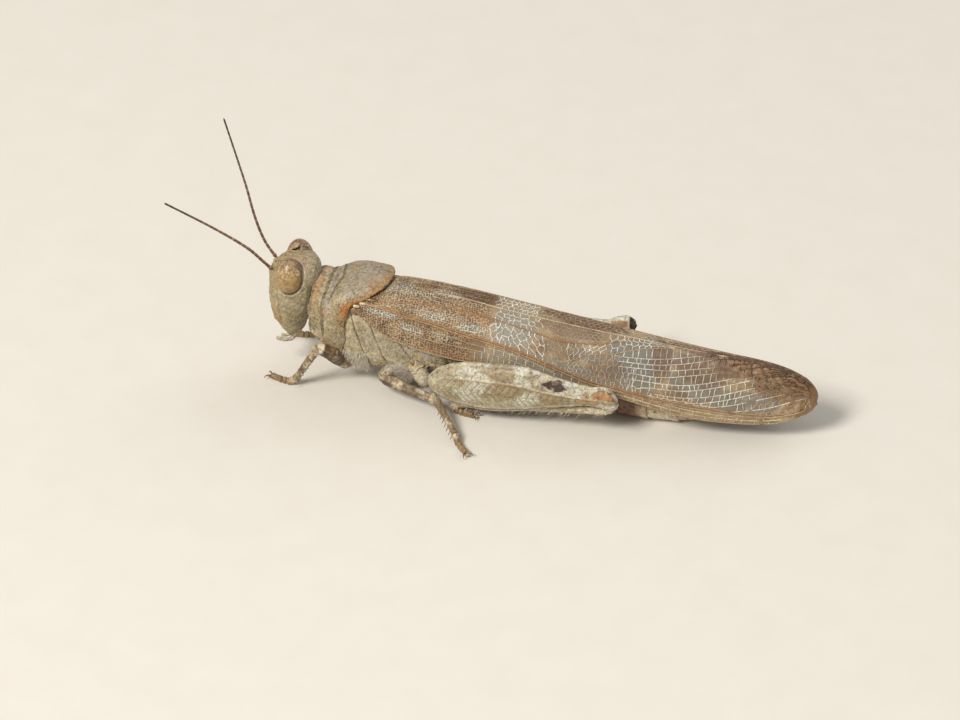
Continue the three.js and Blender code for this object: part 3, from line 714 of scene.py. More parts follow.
STRONG_VEINS = [
    # line, t aside, from x, to x, radius, pale, cream, rust
    ("anal", 0, 10.0, 30.2, 0.038, 0.3, 0.5, 0),
    ("media", 0, 6.3, 21.2, 0.04, 0, 0, 0.85),
    ("radial", -0.012, 5.8, 31.0, 0.06, 0, 0, 0.9),
    ("radial", 0.013, 5.8, 31.3, 0.06, 0, 0.15, 0.8),
    ("subcosta", 0, 8.6, 18.2, 0.036, 0, 0.3, 0.3),
    ("between", 0, 12.0, 17.4, 0.032, 0, 0.7, 0),
    ("sector", 0, 17.4, 24.6, 0.036, 0, 0.4, 0.5),
    ("top", 0.012, 7.3, 31.0, 0.03, 0, 0, 0.15),
    ("low", 0, 6.4, 31.3, 0.036, 0, 0.25, 0.2),
    *[(f"fan{k}", 0, rows[0][0], 31.6, 0.028, 0.85, 0, 0) for k, rows in enumerate(FAN)],
    ("low", -0.06, 19.5, 30.6, 0.026, 0.45, 0.5, 0),
    ("low", -0.03, 20.7, 30.6, 0.026, 0.45, 0.5, 0),
]
# Fine veins among the pits of the base, each a share of the way between two lines: line, line, share, from x
FINE_VEINS = [("top", "anal", 0.35, 8.2), ("top", "anal", 0.7, 8.2), ("anal", "media", 0.5, 8.6),
              ("media", "radial", 0.5, 8.2), ("radial", "subcosta", 0.5, 7.6)]
print("strong veins on a wing:", len(STRONG_VEINS))


# %% [markdown]
# ### Filling the fields between the strong veins
# A field is the space between two long veins. It gets a few weak long veins of its own and a row of
# cross-veins in each gap. Tracing a thousand cells by hand would take days, so the spacing wanders by a
# seeded random step, and every run of the script gives the same wing.

# %% Cross-veins
def field(upper, lower, rows, start, end, spacing, wobble, radius, pale, cream, side, dice):
    """Weak long veins and cross-veins between two lines, from x = start to end. wobble kinks the net."""
    end = min(end, TIP_X[side] - 0.35)
    ties = []
    for _ in range(rows):
        x = start + spacing * dice.uniform(0.1, 0.9)
        row = []
        while x < end:
            if lower(x) - upper(x) > 0.012 * rows:
                row.append(x)
            x += spacing * dice.uniform(0.7, 1.35)
        ties.append(row)

    def kinked(k, x):
        """t of weak vein k at x, pulled towards the cross-veins that meet it there."""
        t = float(mix(upper(x), lower(x), k / rows))
        if k in (0, rows):
            return t
        down = min((abs(x - other) for other in ties[k]), default=9)
        up = min((abs(x - other) for other in ties[k - 1]), default=9)
        return t + wobble * float(lower(x) - upper(x)) / rows * (1 if down < up else -1)

    shapes = []
    for gap, row in enumerate(ties):
        for x in row:
            lean = spacing * dice.uniform(-0.28, 0.28) * (wobble > 0)
            top, foot = kinked(gap, x), kinked(gap + 1, x + lean)
            xs = [x, x + lean * 0.5 + spacing * dice.uniform(-0.08, 0.08), x + lean]
            bright = pale * dice.uniform(0.55, 1.15)
            shapes.append(vein(xs, [top, (top + foot) / 2, foot], side, radius, pale=bright, cream=cream))
    weak = pale * (0.8 if wobble else 0)
    for k in range(1, rows):
        stops = sorted(ties[k] + ties[k - 1])
        if len(stops) > 2:
            ts = [kinked(k, x) for x in stops]
            shapes.append(vein(stops, ts, side, radius, pale=weak, cream=cream))
    return shapes


# %% The fields of a wing
FIELDS = [
    # upper line, lower line, rows, from x, to x, spacing, wobble, radius, pale, cream
    # the white window and the brown band
    ("top", "anal", 4, 13.3, 15.9, 0.28, 0.3, 0.031, 1.15, 0),
    ("anal", "media", 3, 13.4, 16.2, 0.36, 0.2, 0.03, 0.95, 0),
    ("media", "radial", 4, 13.2, 16.6, 0.38, 0.34, 0.036, 1.2, 0),
    ("top", "anal", 4, 15.9, 22.6, 0.3, 0.28, 0.02, 0.5, 0),
    ("anal", "media", 5, 16.2, 19.8, 0.28, 0.28, 0.018, 0.45, 0),
    ("media", "radial", 5, 16.5, 18.0, 0.26, 0.3, 0.02, 0.5, 0),
    ("media", "sector", 3, 17.6, 19.9, 0.34, 0.32, 0.03, 1.1, 0),
    ("sector", "radial", 5, 17.7, 20.9, 0.27, 0.24, 0.021, 0.6, 0),
    ("fan2", "radial", 4, 20.8, 21.7, 0.26, 0.24, 0.024, 0.8, 0),
    ("anal", "sector", 3, 19.9, 23.6, 0.34, 0.24, 0.028, 1.05, 0),
    # the ladders between the radial vein and the lower edge
    ("radial", "between", 1, 12.9, 17.3, 0.47, 0, 0.03, 0.7, 0.6),
    ("between", "subcosta", 1, 12.7, 17.2, 0.5, 0, 0.03, 0.6, 0.6),
    ("radial", "subcosta", 1, 17.3, 18.2, 0.47, 0, 0.03, 0.7, 0.6),
    ("subcosta", "low", 1, 12.4, 16.2, 0.34, 0, 0.028, 0.6, 0.6),
    ("radial", "low", 1, 18.3, 20.6, 0.45, 0, 0.028, 0.6, 0.6),
    ("radial", "low", 3, 19.8, 30.4, 0.62, 0, 0.024, 0.5, 0.5),
]
# The fan of the outer half: a ladder in each gap, and a finer net behind it at the tip
FAN_ORDER = ["sector", *[f"fan{k}" for k in range(len(FAN))], "radial"]
LADDER_STARTS = [20.6, 20.9, 21.1, 21.5, 21.9, 22.6, 23.2, 24.8, 25.8, 27.2, 28.0]
LADDER_END = 28.2
for k, start in enumerate(LADDER_STARTS):
    FIELDS.append((*FAN_ORDER[k : k + 2], 1, start, 24.4 if k == 0 else LADDER_END, 0.35, 0.1, 0.027, 1.1, 0))
    if k > 0:
        FIELDS.append((*FAN_ORDER[k : k + 2], 2, max(LADDER_END, start), 31.4, 0.3, 0.24, 0.021, 0.5, 0))
for k, end in ((4, 22.6), (6, 24.8), (7, 26.0)):
    FIELDS.append((f"fan{k}", "radial", 2, LADDER_STARTS[k] - 0.9, end, 0.4, 0.1, 0.028, 1.0, 0))
FIELDS.append(("top", "anal", 3, 22.6, 31.0, 0.32, 0.24, 0.021, 0.6, 0))


def wing_net(side):
    dice = random.Random(41)
    lines = vein_lines(side)
    shapes = []
    for name, aside, start, end, radius, pale, cream, rust in STRONG_VEINS:
        moved = lambda x: lines[name](x) + aside
        shapes.append(long_vein(moved, start, end, side, radius, pale=pale, cream=cream, rust=rust))
    for upper, lower, share, start in FINE_VEINS:
        lane = lambda x: mix(lines[upper](x), lines[lower](x), share)
        shapes.append(long_vein(lane, start, 13.0, side, 0.016, pale=0.2))
    for upper, lower, *sizes in FIELDS:
        shapes += field(lines[upper], lines[lower], *sizes, side, dice)
    return joined(*shapes)


print("fields on a wing:", len(FIELDS))


# %% Build both forewings
def forewing(name, side):
    u = np.linspace(0, 1, 330)
    xs = mix(WING_ROOT, TIP_X[side], np.sin(u * math.pi / 2) * 0.35 + u * 0.65)
    x, t = np.meshgrid(xs, np.linspace(-0.09 if side < 0 else 0.0, 1, 84), indexing="ij")
    wing_place = np.stack([x, t * 6, 0 * x], -1)
    swell = 0.012 * grain(wing_place, 0.7, seed=5)
    swell += 0.05 * soft_step(x, 23, 29) * grain(wing_place, 0.34, seed=9)
    masks = {kind: wing_patch(kind, x, t) for kind in WING_PATCHES}
    masks["white"] = masks["white"] * (0.3 + 0.7 * peppered(x, t))
    masks.update(row=x, rank=t * (3.6 + 1.2 * t), peppered=peppered(x, t))
    spots = np.stack([x / MAP_LENGTH, 0.1 + t * 0.8], -1)
    sheet = plate(wing(x, t, side, swell), 0.06, side, spots, **masks)
    make(f"wing_blade_{name}", sheet, membrane, "forewing", f"forewing_{name}")
    make(f"wing_veins_{name}", wing_net(side), vein_chitin, "forewing")


for name, side in SIDES:
    forewing(name, side)
print("forewing pieces:", made)

# %% [markdown]
# ## Head
# The head capsule is one hard box that hangs straight down, with the face in front and the eyes high on
# its sides. Its relief is what makes it read as a grasshopper: a grooved ridge down the face between
# the feelers, a keel on each cheek, a furrow below each eye, a raised ring round each eye and a shallow
# dish on the crown. Separate plates would leave seams where the real capsule has none, so all of it is
# height added to one skin.

# %% Armour
# Armour plates are cuticle, hardened and tanned until stiff, under a dull wax dust. They read as dry clay.
armour = cuticle(
    "matt_sclerotised_cuticle", "A99C7C", "8F8462",
    [("lilac", "A0968A", 0.85), ("pale", "CBC2A8", 0.85), ("warm", "B07A3C", 0.95), ("dark", "33261B", 0.95)],
    pits=0.8, pit_mm=0.15, pit_tone="453626", cloud_mm=0.8, rough=0.6,
)
print("armour finish:", armour.name)

# %% The eye's own axes, which the head's sockets share
EYE_HALF = {"length": 0.77, "bulge": 0.74, "height": 1.04}
EYE_LEAN = 0.24


def from_eye(points, side):
    """Points in the eye's own axes, in half sizes: 1 is on its surface."""
    p = points - EYE_CENTRE * [1, -side, 1]
    c, s = math.cos(side * EYE_LEAN), math.sin(side * EYE_LEAN)
    turned = np.stack([p[..., 0], c * p[..., 1] + s * p[..., 2], -s * p[..., 1] + c * p[..., 2]], -1)
    return turned / [EYE_HALF["length"], EYE_HALF["bulge"], EYE_HALF["height"]]


print("the left eye's centre in its own axes:", from_eye(EYE_CENTRE, -1))

# %% Head capsule: its skin and the relief of the face
CHIN, CROWN = 2.15, 7.3
head_ribs = through([
    # height, centre x, half depth, half width
    [CHIN, 1.38, 0.1, 0.12], [2.25, 1.37, 0.38, 0.6], [2.6, 1.36, 0.62, 1.0], [3.0, 1.34, 0.85, 1.2],
    [3.5, 1.32, 1.02, 1.38], [4.5, 1.44, 1.3, 1.6], [5.5, 1.53, 1.4, 1.6], [6.4, 1.62, 1.32, 1.42],
    [6.9, 1.7, 1.08, 1.15], [7.14, 1.75, 0.78, 0.82], [7.27, 1.78, 0.42, 0.45], [CROWN, 1.8, 0.05, 0.05],
])


def face_relief(x, y, z, front):
    """Ridge, cheek keels, lip line, crown dish and feeler sockets, in mm."""
    ridge = window(z, 2.9, 3.4, 6.6, 7.0) * front
    spread = 0.2 + 0.05 * soft_step(z, 5.2, 3.2)
    height = 0.13 * ridge * (hump(abs(y), spread, 0.075) + 0.25 * hump(y, 0, 0.2))
    cheek_line = 0.62 + 0.34 * soft_step(z, 6.2, 3.2)
    height += 0.07 * front * window(z, 2.8, 3.4, 5.4, 6.0) * hump(abs(y), cheek_line, 0.07)
    height -= 0.05 * window(z, 2.9, 3.0, 3.2, 3.35) * front
    height += 0.03 * hump(y, 0, 0.035) * soft_step(z, 6.5, 7.0) * soft_step(x, 0.6, 1.3)
    socket = np.hypot((abs(y) - 0.5) / 0.27, (z - 6.1) / 0.27)
    return height + front * (0.07 * hump(socket, 1.05, 0.28) - 0.12 * hump(socket, 0, 0.65))


def head():
    t, angle = lay_out(210, 176)
    z = mix(CHIN, CROWN, np.sin(t * math.pi / 2) * 0.35 + t * 0.65)
    centre, depth, width = head_ribs(z)
    a, b = oval(angle, depth, width, 2.3)
    grid = np.stack([centre + a, b, z], -1)
    x, y = grid[..., 0], grid[..., 1]
    front = soft_step(-np.cos(angle), 0.35, 0.8)
    furrow = soft_step(abs(np.sin(angle)), 0.5, 0.85) * window(z, 3.0, 3.5, 5.5, 5.9)
    furrow_x = 0.78 + 0.1 * (5.5 - z)
    crown = np.hypot(y / 0.36, (z - 6.75) / 0.3)
    height = face_relief(x, y, z, front) - 0.07 * furrow * hump(x, furrow_x, 0.05)
    height += 0.05 * (hump(crown, 1.0, 0.3) - hump(crown, 0, 0.6)) * soft_step(-np.cos(angle), 0.1, 0.5)
    rim, dark = np.zeros_like(z), 0.35 * furrow * hump(x, furrow_x, 0.04) + 0.3 * hump(z, 3.1, 0.06) * front
    for _, side in SIDES:
        own = from_eye(grid, side)
        near = np.linalg.norm(own, axis=-1)
        height -= 0.1 * soft_step(near, 1.08, 0.97)
        rim += hump(near, 1.15, 0.07)
        # painted shadow: a thin dark line at the rear and lower edge of each eye, where it meets the head
        dark += 0.95 * hump(near, 1.04, 0.035) * soft_step(own[..., 0] - 0.7 * own[..., 2], -0.5, 0.6)
    height += 0.03 * rim + 0.018 * grain(grid, 0.2, 1) + 0.02 * grain(grid, 0.9, 2)
    warm = 0.45 * soft_step(z, 4.6, 3.4) * soft_step(x, 1.5, 0.5) + 0.2 * soft_step(z, 6.6, 7.3)
    warm += 0.25 * clouds(grid, 0.7, 4, 0.1, 0.8) * soft_step(x, 1.4, 0.4)
    lilac = 0.5 * clouds(grid, 1.3, 6, 0.0, 0.7) * soft_step(x, 0.6, 1.6)
    # the last term is painted light on the back of the head, which faces away from the key lamp
    pale = 0.25 * rim + 0.2 * soft_step(z, 3.4, 2.7) + 0.4 * soft_step(x, 2.0, 2.6)
    return tube(raised(grid, height), dark=dark, warm=warm, lilac=lilac, pale=pale)


make("head_capsule", head(), armour, "cuticle", "head")
print("head faces:", made[-1][1])

# %% [markdown]
# ## Compound eyes and simple eyes
# A compound eye is a dome of some thousands of six-sided lenses about 0.025 mm wide. Modelling each one
# would cost millions of faces for something too fine to show, so the facets are drawn three times as
# coarse, at 0.075 mm, as a shallow cell pattern. The lens cuticle is smooth, which gives the eye its
# sharp highlight, and its tan pigment lies below it in clouds, pinker at the top, where pale speckles are
# painted glints of the facets. Its edges and underside are painted darker as shade. The right eye also
# has a narrow dent near its top, under a fold of the rim: its shade is painted near-black, and the lip
# below it gets a painted highlight. Between the eyes sit three simple eyes, glassy beads no bigger than
# 0.25 mm.

# %% Finishes of the eyes
FACET_MM = 0.075
# Lens cuticle is clear and smooth over mottled pigment: a tan eye with a soft gleam. Its pale layer
# is painted glints and a painted highlight, its dark layer dark specks and painted shade at the edges,
# and its near-black layer the painted shade in a dent of the right eye.
lens = cuticle(
    "faceted_lens_cuticle", "A88C58", "92764A",
    [("warm", "A88A6A", 0.8), ("dark", "5A4228", 0.9), ("pale", "DCCDAC", 0.85), ("slit", "120B07", 1.0)],
    cloud_mm=0.3, mottle_mm=0.16, grain_mm=0.09, pit_mm=FACET_MM, pits=0.45, pit_tone="6A5030",
    depth_mm=0.012, rough=0.44, coat=0.25, coat_rough=0.28,
)
# A simple eye is one thick polished lens, so it looks like a bead of dark glass.
bead = cuticle(
    "glassy_bead_cuticle", "3A2A1E", "4A3626", [("pale", "C8AE84", 0.9)],
    cloud_mm=0.2, grain_mm=0.05, pits=0.0, depth_mm=0.004, rough=0.2, coat=0.8, coat_rough=0.06,
)
print("eye finishes:", lens.name, bead.name)


# %% Eyes
def ball(along, around, pole):
    """A grid on a ball of radius 1. pole is the small angle left at each end."""
    t, angle = lay_out(along, around)
    polar = mix(pole, math.pi - pole, t)
    return np.stack([np.sin(polar) * np.cos(angle), np.sin(polar) * np.sin(angle), np.cos(polar)], -1)


def eye(side):
    globe = ball(72, 96, 0.012)
    ahead, out, up = np.moveaxis(globe, -1, 0)
    egg = globe * [EYE_HALF["length"], EYE_HALF["bulge"], EYE_HALF["height"]]
    x, y, z = egg[..., 0] * (1 - 0.1 * up) - 0.04, egg[..., 1], egg[..., 2]
    c, s = math.cos(side * EYE_LEAN), math.sin(side * EYE_LEAN)
    grid = np.stack([x, c * y - s * z, s * y + c * z], -1) + EYE_CENTRE * [1, -side, 1]
    warm = 0.9 * soft_step(up + 0.35 * grain(globe, 0.35, 8), 0.25, 0.8)
    # painted shade: darker along the eye's edges, where it meets the head, and on its underside
    dark = 0.75 * soft_step(-abs(out), -0.42, -0.12) + 0.45 * soft_step(up, -0.55, -0.95)
    dark += 0.8 * clouds(globe, 0.16, 14, 0.15, 0.65) * soft_step(up, 0.15, 0.6)
    # pale speckles high on the eye are painted glints of the facets
    pale = 1.1 * clouds(globe, 0.14, 15, 0.15, 0.6) * hump(up, 0.5, 0.35)
    slit = np.zeros_like(up)
    # the right eye's narrow dent near its top is painted near-black as its shade, and the lip below it pale
    # as a painted highlight
    if side > 0:
        inner = soft_step(-out, 0.05, 0.2) * soft_step(abs(ahead + 0.08), 0.4, 0.3)
        rise = up - 0.77 - 0.31 * (ahead + 0.08)
        slit = inner * hump(rise, 0, 0.085)
        grid = raised(grid, -0.08 * slit + 0.03 * inner * hump(rise, -0.17, 0.05))
        dark = dark * (1 - inner)
        pale = pale * (1 - inner) + 1.1 * inner * hump(rise, -0.18, 0.045)
    return tube(grid, warm=warm, dark=dark, pale=pale, slit=2.2 * slit)


def simple_eyes():
    globe = ball(14, 18, 0.02)
    pale = 0.8 * hump(globe[..., 2], -0.3, 0.3)
    centres = [(0.16, 0.0, 5.75), (0.62, -0.52, 6.62), (0.62, 0.52, 6.62)]
    return joined(*[tube(globe * [0.09, 0.11, 0.12] + centre, pale=pale) for centre in centres])


for name, side in SIDES:
    make(f"compound_eye_{name}", eye(side), lens, "eye", f"eye_{name}")
make("simple_eyes", simple_eyes(), bead, "eye")
print("eyes made:", [m for m in made if "eye" in m[0]])

# %% [markdown]
# ## Feelers
# Each feeler is a stout first joint, a round second one and a flexible whip of about two dozen short
# joints. The joints swell a little at their far ends, and pale skin shows between them, so the whip
# looks finely ringed. A curve with a round bevel would be smooth all along, so the whip is a grid whose
# radius follows the joints. It is about 0.2 mm thick at the root and thins towards the tip.

# %% Feelers
FEELER_ROOT = [0.52, 0.5, 6.15]
FEELER_PATHS = {
    "left": [[-0.1, 0.8, 6.99], [-0.96, 1.1, 8.0], [-2.7, 1.6, 9.35], [-5.35, 2.4, 11.16]],
    "right": [[-0.5, 0.9, 7.2], [-1.21, 1.4, 8.39], [-1.97, 2.2, 10.03], [-3.7, 4.0, 13.1]],
}
FEELER_JOINTS = 25
# Whip joints are thin tanned tubes, darker than the body, with a faint shine along them, helped by a
# pale stripe painted along their tops as a highlight; their undersides are painted darker as shade.
tanned_feeler = cuticle(
    "tanned_feeler_cuticle", "6A4A34", "54392A", [("pale", "B99A72", 0.9), ("dark", "33221A", 0.9)],
    pits=0.2, pit_mm=0.08, cloud_mm=0.4, rough=0.45, coat=0.2,
)


def at_joints(joint, width):
    """1 at both ends of a joint, whose own length runs from 0 to 1."""
    return hump(joint, 0, width), hump(joint, 1, width)


def feeler(name, side):
    path = [[x, side * y, z] for x, y, z in [FEELER_ROOT, *FEELER_PATHS[name]]]

    def size(t):
        joint = (t * FEELER_JOINTS) % 1
        ringed = 1 + 0.05 * np.sin(math.pi * joint) - 0.13 * sum(at_joints(joint, 0.07))
        stout = 1 + soft_step(t, 0.045, 0.03) - 0.35 * hump(t, 0.05, 0.006) + 0.35 * hump(t, 0.07, 0.014)
        thin = mix(0.095, 0.062, soft_step(t, 0.1, 0.95))
        r = thin * ringed * stout * closing(mix(0.01, 1, t), 0.015, 0.1)
        return r, r * 0.82

    grid, t, angle = limb(path, size, along=420, around=16, hint=(1, 0, 0.3))
    pale = 0.5 * np.maximum(*at_joints((t * FEELER_JOINTS) % 1, 0.12)) * soft_step(t, 0.95, 0.4)
    # a pale stripe along the top is a painted highlight; the pale root is the feeler's own colour
    pale += 0.55 * soft_step(np.sin(angle + 0.6), 0.1, 0.9) + 0.5 * soft_step(t, 0.08, 0.03)
    dark = 0.7 * soft_step(t, 0.45, 0.95) + 0.5 * hump((t * 9) % 1, 0.5, 0.2) * soft_step(t, 0.1, 0.3)
    # the underside is painted darker as shade
    return tube(grid, pale=pale, dark=dark + 0.6 * soft_step(-np.sin(angle), 0.2, 0.9))


for name, side in SIDES:
    make(f"feeler_{name}", feeler(name, side), tanned_feeler, "antenna", f"antenna_{name}")
print("feeler joints:", FEELER_JOINTS)

# %% [markdown]
# ## Mouthparts
# Below the face hang the upper lip, the two jaws with their dark biting edges and the lower lip, and
# from their sides reach two pairs of jointed palps that taste the food. They are separate hard parts
# that never blend into one surface, so instead of carving them from one block each is a small closed
# skin of its own, and together they stand for one packed block.

# %% Lips, jaws and palps
def pod(centre, half, along=26, around=30, square=2.4, lean=0.0, notch=0.0, **masks):
    """A rounded pillow with half sizes (x, y, z), leaning forwards at its foot."""
    t, angle = lay_out(along, around)
    polar = mix(0.03, math.pi - 0.03, t)
    a, b = oval(angle, 1, 1, square)
    grid = np.stack([np.sin(polar) ** 0.7 * a, np.sin(polar) ** 0.7 * b, np.cos(polar)], -1)
    grid[..., 2] += notch * hump(grid[..., 1], 0, 0.35) * soft_step(grid[..., 2], 0, -1)
    grid = grid * half
    grid[..., 0] += lean * grid[..., 2]
    grid = grid + centre
    return tube(grid + 0.01 * grain(grid, 0.2, 12)[..., None], **masks)


def palp(points, radius, joints):
    def size(t):
        pinched = 1 - 0.3 * sum(at_joints((t * joints) % 1, 0.09))
        r = radius * pinched * (0.8 + 0.3 * t) * closing(t, 0.06, 0.2)
        return r, r

    grid, t, _ = limb(points, size, along=70, around=14)
    bent = 0.5 * np.maximum(*at_joints((t * joints) % 1, 0.16)) + 0.3 * clouds(grid, 0.18, 16, 0, 0.7)
    return tube(grid, pale=0.4 + 0.3 * soft_step(t, 0.5, 0.9), warm=0.3 * bent, dark=0.5 * bent, lilac=0.6)


def mouth():
    shapes = [
        pod([0.86, 0, 2.75], [0.27, 0.6, 0.36], square=2.0, lean=-0.35, pale=0.15),
        pod([1.08, 0, 2.4], [0.24, 0.42, 0.32], square=2.0, lean=-0.45, notch=0.2, warm=0.3),
        pod([1.74, 0, 2.5], [0.27, 0.5, 0.42], square=2.0, lean=0.5, lilac=0.4),
    ]
    for _, side in SIDES:
        long_palp = [[1.7, side * 0.5, 2.45], [1.5, side * 0.86, 2.1], [1.0, side * 0.9, 1.94],
                     [0.5, side * 0.76, 1.9]]
        short_palp = [[1.3, side * 0.3, 2.4], [1.15, side * 0.55, 2.08], [0.72, side * 0.56, 1.97]]
        shapes += [
            pod([1.3, side * 0.4, 2.55], [0.38, 0.3, 0.46], square=2.0, lean=0.1, lilac=0.5, warm=0.2),
            pod([1.3, side * 0.16, 2.06], [0.2, 0.16, 0.16], dark=0.95),
            pod([1.7, side * 0.55, 2.5], [0.26, 0.2, 0.44], lean=0.45, pale=0.2, warm=0.4),
            palp(long_palp, 0.11, 4),
            palp(short_palp, 0.09, 3),
        ]
    return joined(*shapes)


make("lips_jaws_palps", mouth(), armour, "cuticle", "mouthparts")
print("mouth pieces joined:", made[-1][1], "faces")

# %% [markdown]
# ## Neck and fore-breast
# Between the head and the saddle lies soft skin in folds, so that the head can turn. The fore-breast
# under the saddle is hidden but for its lower edge, where short grey hairs stick out. Cloth would
# crease at random, but the neck always folds along the same rings, so a wave in the radius draws them.

# %% Neck and fore-breast
# Side plates are thinner armour, pitted like leather and a little greyer than the head. They are a
# little lighter too, partly their own tone and partly painted light that lifts the flanks, which the
# lamps light less than the top.
side_plates = cuticle(
    "pitted_side_plate_cuticle", "B1A684", "968B6B",
    [("lilac", "A59D93", 0.9), ("warm", "C08D58", 0.9), ("pale", "D8CDA8", 0.9), ("dark", "2E241A", 0.97)],
    pits=0.85, pit_mm=0.16, cloud_mm=0.8, rough=0.64,
)
NECK_FOLDS = 5
FORE_BREAST = (3.0, 5.1)
fore_ribs = through([
    [3.0, 4.3, 1.35, 1.75], [3.6, 4.1, 1.55, 2.0], [4.6, 3.85, 1.7, 2.2], [5.1, 3.8, 1.7, 2.2],
])


def neck():
    def size(t):
        fold = 1 + 0.05 * np.sin(t * 2 * math.pi * NECK_FOLDS)
        return 1.05 * fold, 1.25 * fold

    grid, t, _ = limb([[1.9, 0, 4.7], [3.3, 0, 4.6]], size, along=60, around=64)
    return tube(grid, pale=0.5, warm=0.4 * hump((t * NECK_FOLDS) % 1, 0.75, 0.2), lilac=0.4)


def fore_breast():
    t, angle = lay_out(50, 90)
    x = mix(*FORE_BREAST, t)
    centre, half_width, half_height = fore_ribs(x)
    a, b = oval(angle, half_width, half_height, 2.4)
    grid = np.stack([x, a, centre + b], -1)
    height = 0.03 * grain(grid, 0.4, 20) - 0.06 * hump(x, 4.2, 0.07)
    return tube(raised(grid, height), lilac=0.8, pale=0.2, dark=0.5 * hump(x, 4.2, 0.06))


make("neck_skin", neck(), side_plates, "pleura", "neck")
make("fore_breast", fore_breast(), side_plates, "pleura", "prothorax")
print("neck folds:", NECK_FOLDS)

# %% [markdown]
# ## The saddle
# The pronotum is one plate bent over the front of the thorax like a saddle. Its narrow front half is
# crossed by fine furrows. The back half is broad, smooth and swollen where it covers the wing muscles,
# and runs to a rounded point. A closed block with a solidify modifier would thicken the furrows too, so
# the saddle is made as the true shell that it is: a thin plate with a back and a rim, open underneath.

# %% Pronotum: where the plate lies
SADDLE_FRONT, SADDLE_BACK = 2.75, 7.25
SADDLE_THICK = 0.14
SECTION_FOOT = 1.8
saddle_ribs = through([
    # x, height of the back, half width
    [SADDLE_FRONT, 6.1, 1.78], [3.3, 6.08, 1.86], [4.0, 6.05, 1.95], [4.8, 6.36, 2.12], [5.6, 6.64, 2.25],
    [6.4, 6.74, 2.2], [SADDLE_BACK, 6.7, 2.0],
])
# Share of the way back, height of the lower edge: the flap hangs lowest near its hind corner.
flap_edge = through([[0, 3.56], [0.35, 2.86], [0.65, 2.4], [0.85, 2.34], [1, 2.62]])


def saddle_grid():
    """The bare plate, with each point's share back and round, and its distance to the hind edge."""
    u, across = np.meshgrid(np.linspace(0, 1, 240), np.linspace(-1, 1, 204), indexing="ij")
    back, half_width = saddle_ribs(mix(SADDLE_FRONT, SADDLE_BACK, u))
    middle, half_height = (back + SECTION_FOOT) / 2, (back - SECTION_FOOT) / 2
    drop = (middle - flap_edge(u)[0]) / half_height
    turn = across * (math.pi / 2 + np.arcsin(np.clip(drop, 0, 0.98) ** 1.3))
    a, b = oval(math.pi / 2 - turn, half_width, half_height, 2.6)
    z = middle + b
    shield = SADDLE_BACK - 0.26 * abs(a) ** 3
    lobe = 4.9 + 0.28 * np.maximum(0, z - 4.5) - 0.2 * soft_step(z, 3.4, 2.5)
    hind = mix(lobe, np.maximum(lobe, shield), soft_step(z, 5.35, 6.15))
    x = mix(SADDLE_FRONT + 0.12 * soft_step(z, 4.2, 3.0), hind, u)
    behind = (1 - u) * (hind - SADDLE_FRONT)
    return np.stack([x, a, z], -1), turn, across * across * soft_step(u, 0.05, 0.3), behind


print("the saddle is", SADDLE_BACK - SADDLE_FRONT, "mm long")


